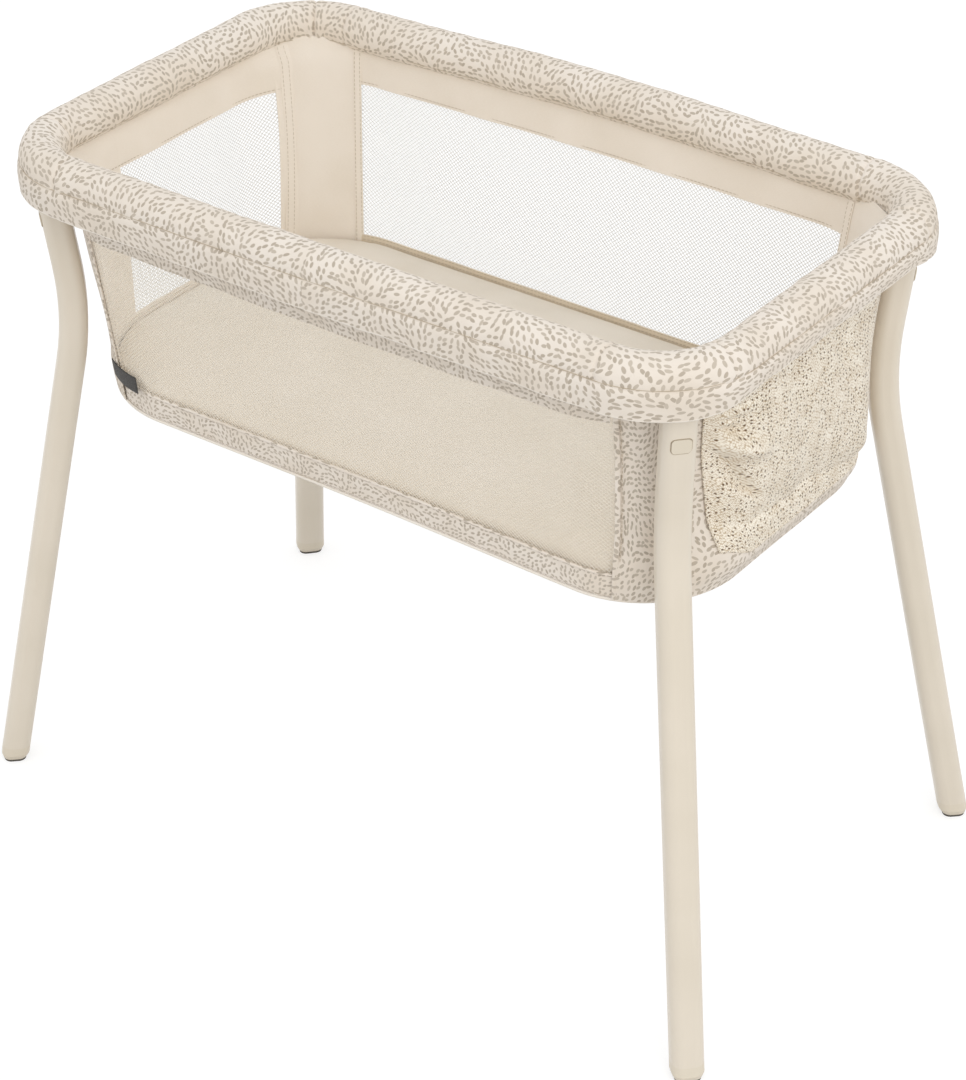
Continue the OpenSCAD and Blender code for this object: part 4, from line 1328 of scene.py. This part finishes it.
for name, line, radius, lift, material in [("bandPiping", bandTop, 0.0016, 0.0006, smallPrint),
                                           ("footPiping", bandFoot, 0.0015, 0.0, palePiping)]:
    piping(name, line, floorSpec["cols"], radius, lift, material, "floor", "printed_cloth", sides=8)
print("floor made")


# mattress


mattressSpec = {"halfLength": 0.3594, "halfWidth": 0.1874, "radius": 0.1005, "leftRadius": 0.1145,
                "bottom": 0.4613, "height": 0.0250, "bevel": 0.0022, "voxel": 0.0050, "pressure": 4.0,
                "cap": 0.0060, "sideways": 0.10, "calmEdge": 0.045, "frames": 20, "sides": 192,
                "quickVoxel": 0.008, "quickRise": 0.006}
mattressSettings = {"quality": 6, "mass": 0.3, "tension_stiffness": 15, "compression_stiffness": 15,
                    "bending_stiffness": 0.5, "use_pressure": True,
                    "uniform_pressure_force": mattressSpec["pressure"]}


def buildMattress():
    spec = mattressSpec
    deselect()
    bpy.ops.mesh.primitive_cylinder_add(vertices=spec["sides"], radius=1, depth=spec["height"],
                                        location=(0, 0, 0), end_fill_type="NGON")
    pad = bpy.context.object
    pad.name = "mattressPad"
    pad.data.name = "mattressPad"
    points = readPoints(pad)
    outline = ringPath(spec["halfLength"], spec["halfWidth"], spec["radius"], count=spec["sides"],
                       leftRadius=spec["leftRadius"])
    turn = np.mod(np.arctan2(points[:, 1], points[:, 0]) / (2 * math.pi) + 0.25, 1.0)
    points[:, 0] = np.interp(turn, outline["u"], outline["x"])
    points[:, 1] = np.interp(turn, outline["u"], outline["y"])
    points[:, 2] += spec["bottom"] + spec["height"] / 2
    writePoints(pad, points)
    bevel(pad, spec["bevel"], 3)
    applyModifier(pad, "REMESH", mode="VOXEL", voxel_size=spec["voxel"])
    start = readPoints(pad)
    cloth = pad.modifiers.new("Cloth", "CLOTH")
    for key, value in mattressSettings.items():
        setattr(cloth.settings, key, value)
    cloth.settings.effector_weights.gravity = 0
    cloth.collision_settings.use_collision = False
    scene = bpy.context.scene
    for tick in range(1, spec["frames"] + 1):
        scene.frame_set(tick)
    shaped = pad.evaluated_get(bpy.context.evaluated_depsgraph_get())
    grown = np.empty(len(shaped.data.vertices) * 3)
    shaped.data.vertices.foreach_get("co", grown)
    grown = grown.reshape(-1, 3)
    pad.modifiers.remove(cloth)
    scene.frame_set(1)
    move = (grown - start) * (spec["sideways"], spec["sideways"], 1)
    length = np.linalg.norm(move, axis=1)[:, None]
    move = move * np.minimum(1, spec["cap"] / np.maximum(length, 1e-9))
    # the pad swells and nowhere draws in, so its edge stays at the walls
    outward = start[:, :2] / np.linalg.norm(start[:, :2], axis=1)[:, None].clip(1e-6)
    drawn = np.minimum((move[:, :2] * outward).sum(axis=1), 0)
    move[:, :2] -= outward * drawn[:, None]
    upper = start[:, 2] > spec["bottom"] + spec["height"] / 2
    room = np.minimum(spec["halfLength"] - np.abs(start[:, 0]), spec["halfWidth"] - np.abs(start[:, 1]))
    move[upper, 2] = np.maximum(move[upper, 2], 0) * ease(0, spec["calmEdge"], room[upper])
    points = start + move
    points[:, 2] = np.maximum(points[:, 2], spec["bottom"])
    writePoints(pad, points)
    return pad


mattress = buildMattress()
applyModifier(mattress, "SUBSURF", levels=1, render_levels=1)
mattress.data.uv_layers.new(name="flat")
mapFlat(mattress)
smooth(mattress, 60)
dress(mattress, mattressCloth, "mattress", "mattress_cloth", "mattress")
print("mattress made")


# blank tag


tagSpec = {"left": -0.3095, "right": -0.2640, "low": 0.4795, "high": 0.4985, "thickness": 0.0011,
           "lift": 0.0036, "curl": 0.0006, "bevel": 0.0003, "cut": (0.052, 0.020)}


def placeTag(u, v):
    x = tagSpec["left"] + u * (tagSpec["right"] - tagSpec["left"])
    z = tagSpec["low"] + v * (tagSpec["high"] - tagSpec["low"])
    return longWall(-1, x, z, tagSpec["lift"] + tagSpec["curl"] * np.sin(math.pi * u))


tag = clothGrid("blankTag", 16, 10, placeTag, *tagSpec["cut"])
thicken(tag, tagSpec["thickness"], 0.0)
bevel(tag, tagSpec["bevel"], 2)
smooth(tag, 60)
dress(tag, tagCloth, "rim", "tag_cloth", "blank_tag")
hang(tag)
cutCloth(tag, *tagSpec["cut"], "laid", "frontNet")
print("tag made")


# dark rings of painted shade in the gaps round the release buttons


legSpec = {"turn": 42.7, "lean": 7.0}      # degrees: from the length, and inwards going up
grooveSpec = {"halfWidth": 0.00945, "halfHeight": 0.00795, "corner": 0.0044, "radius": 0.00032,
              "legFlat": 0.0050, "legRound": 0.0110, "sink": 0.0005, "count": 96}
# darker tan paint: painted shade in the narrow gap round each button
grooveShade = makePaint("grooveShade", srgb(172, 154, 126), srgb(160, 142, 114), 0.7, 0.0)


def legAxes(sx, sy):
    # out through the button, and up along the leg
    turn, lean = math.radians(legSpec["turn"]), math.radians(legSpec["lean"])
    flat = np.array([sx * math.cos(turn), sy * math.sin(turn), 0])
    out = flat * math.cos(lean) - np.array([0, 0, math.sin(lean)])
    return out, flat * math.sin(lean) + np.array([0, 0, math.cos(lean)])


def halfWay(face, axis):
    return (np.max(face @ axis) + np.min(face @ axis)) / 2


def buttonGroove(key, sx, sy):
    out, up = legAxes(sx, sy)
    across = np.cross(up, out)
    button = readPoints(frame["nodes"]["release_button_" + key.lower()])
    reach = button @ out
    face = button[reach > reach.max() - 0.0002]
    centre = up * halfWay(face, up) + across * halfWay(face, across)
    ring = ringPath(grooveSpec["halfWidth"], grooveSpec["halfHeight"], grooveSpec["corner"],
                    count=grooveSpec["count"])

    def surface(t, lift):
        x, y = onRing(ring, t)[:2]
        over = np.maximum(0, np.abs(x) - grooveSpec["legFlat"])
        fall = grooveSpec["legRound"] - np.sqrt(grooveSpec["legRound"] ** 2 - over ** 2)
        height = reach.max() - grooveSpec["sink"] - fall + lift
        return centre + x[:, None] * across + y[:, None] * up + height[:, None] * out

    piping("buttonGroove" + key, surface, grooveSpec["count"], grooveSpec["radius"], 0.0, grooveShade,
           "leg_" + key.lower(), "cream_paint")


for key, (sx, sy) in corners.items():
    buttonGroove(key, sx, sy)
print("button gaps made")


# coil springs behind the release buttons


springSpec = {"press": 0.0025, "merge": 0.000001}


def buttonSpring(key, sx, sy):
    low = key.lower()
    node = frame["nodes"]["button_spring_" + low]
    out = legAxes(sx, sy)[0]
    spring = bpy.data.objects.new("buttonSpring" + key, node.data.copy())
    bpy.context.scene.collection.objects.link(spring)
    editAll(spring)
    bpy.ops.mesh.remove_doubles(threshold=springSpec["merge"])
    bpy.ops.object.mode_set(mode="OBJECT")
    smooth(spring, 60)
    points = readPoints(spring)
    dress(spring, slotLooks["spring_steel"], "leg_" + low, "spring_steel", "button_spring_" + low)
    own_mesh(spring)


for key, (sx, sy) in corners.items():
    buttonSpring(key, sx, sy)
print("springs made")


# studio


studio = {
    "lamps": [("keyLight", 2.2, 22.0, (2.7, -1.5, 2.6)), ("fillLight", 2.6, 7.6, (-1.6, -3.0, 1.3)),
              ("lowLight", 2.0, 6.0, (3.0, -1.2, 0.9))],
    "lampColour": (1.0, 0.968, 0.92),
    "target": (0, 0, 0.5),
    "floorLit": (0.62, 0.61, 0.60, 1.0),      # the floor's colour for light that falls on it
    "floorSeen": (0.38, 0.38, 0.38, 1.0),     # and as the camera sees it, with its own glow
    "floorGlow": 0.70,
    "skyColour": (0.985, 0.992, 1.0, 1.0),
    "skyStrength": 0.92,
}


def addArea(name, size, power, place):
    data = bpy.data.lights.new(name, "AREA")
    data.shape = "SQUARE"
    data.size = size
    data.energy = power
    data.color = studio["lampColour"]
    lamp = bpy.data.objects.new(name, data)
    bpy.context.scene.collection.objects.link(lamp)
    lamp.location = place
    lamp.rotation_euler = (Vector(studio["target"]) - Vector(place)).to_track_quat("-Z", "Y").to_euler()


def asSeen(tree, lighting, shown):
    # one look for light on its way, and another for the eye, also in mirrors and glass
    path = addNode(tree, "ShaderNodeLightPath")
    seen = calc(tree, "MAXIMUM", path.outputs["Is Camera Ray"],
                calc(tree, "MAXIMUM", path.outputs["Is Glossy Ray"], path.outputs["Is Transmission Ray"]))
    inputs = {0: seen, 1: lighting.outputs[0], 2: shown.outputs[0]}
    return addNode(tree, "ShaderNodeMixShader", inputs).outputs[0]


for lamp in studio["lamps"]:
    addArea(*lamp)

deselect()
bpy.ops.mesh.primitive_plane_add(size=30, location=(0, 0, 0))
floorPlane = bpy.context.object
floorPlane.name = "studioFloor"
floorMaterial = bpy.data.materials.new("studioFloor")
floorMaterial.use_nodes = True
tree = floorMaterial.node_tree
tree.nodes.clear()
plain = addNode(tree, "ShaderNodeBsdfDiffuse", {"Color": studio["floorLit"]})
pale = addNode(tree, "ShaderNodeBsdfDiffuse", {"Color": studio["floorSeen"]})
glow = addNode(tree, "ShaderNodeEmission", {"Color": (1, 1, 1, 1), "Strength": studio["floorGlow"]})
lit = addNode(tree, "ShaderNodeAddShader", {0: pale.outputs[0], 1: glow.outputs[0]})
addNode(tree, "ShaderNodeOutputMaterial", {"Surface": asSeen(tree, plain, lit)})
floorPlane.data.materials.append(floorMaterial)

world = bpy.data.worlds.new("studioWorld")
bpy.context.scene.world = world
world.use_nodes = True
tree = world.node_tree
tree.nodes.clear()
sky = addNode(tree, "ShaderNodeBackground", {"Color": studio["skyColour"], "Strength": studio["skyStrength"]})
white = addNode(tree, "ShaderNodeBackground", {"Color": (1, 1, 1, 1), "Strength": 1.0})
addNode(tree, "ShaderNodeOutputWorld", {"Surface": asSeen(tree, sky, white)})
bpy.context.scene.view_settings.view_transform = "Standard"

cameraSpec = {
    "place": (1.63967, -2.16788, 2.05241),
    "right": (0.80375614, 0.59486349, -0.0106534),
    "up": (-0.31449438, 0.43999618, 0.8411282),
    "forward": (-0.50504391, 0.67271152, -0.54073086),
    "lens": 106.313,
}
cameraData = bpy.data.cameras.new("camera")
cameraData.lens = cameraSpec["lens"]
cameraData.sensor_width = 36
cameraData.sensor_fit = "AUTO"
cameraData.clip_end = 100
camera = bpy.data.objects.new("camera", cameraData)
bpy.context.scene.collection.objects.link(camera)
axes = Matrix((cameraSpec["right"], cameraSpec["up"], [-c for c in cameraSpec["forward"]])).transposed()
camera.matrix_world = Matrix.Translation(cameraSpec["place"]) @ axes.to_4x4()
bpy.context.scene.camera = camera
print("studio made")
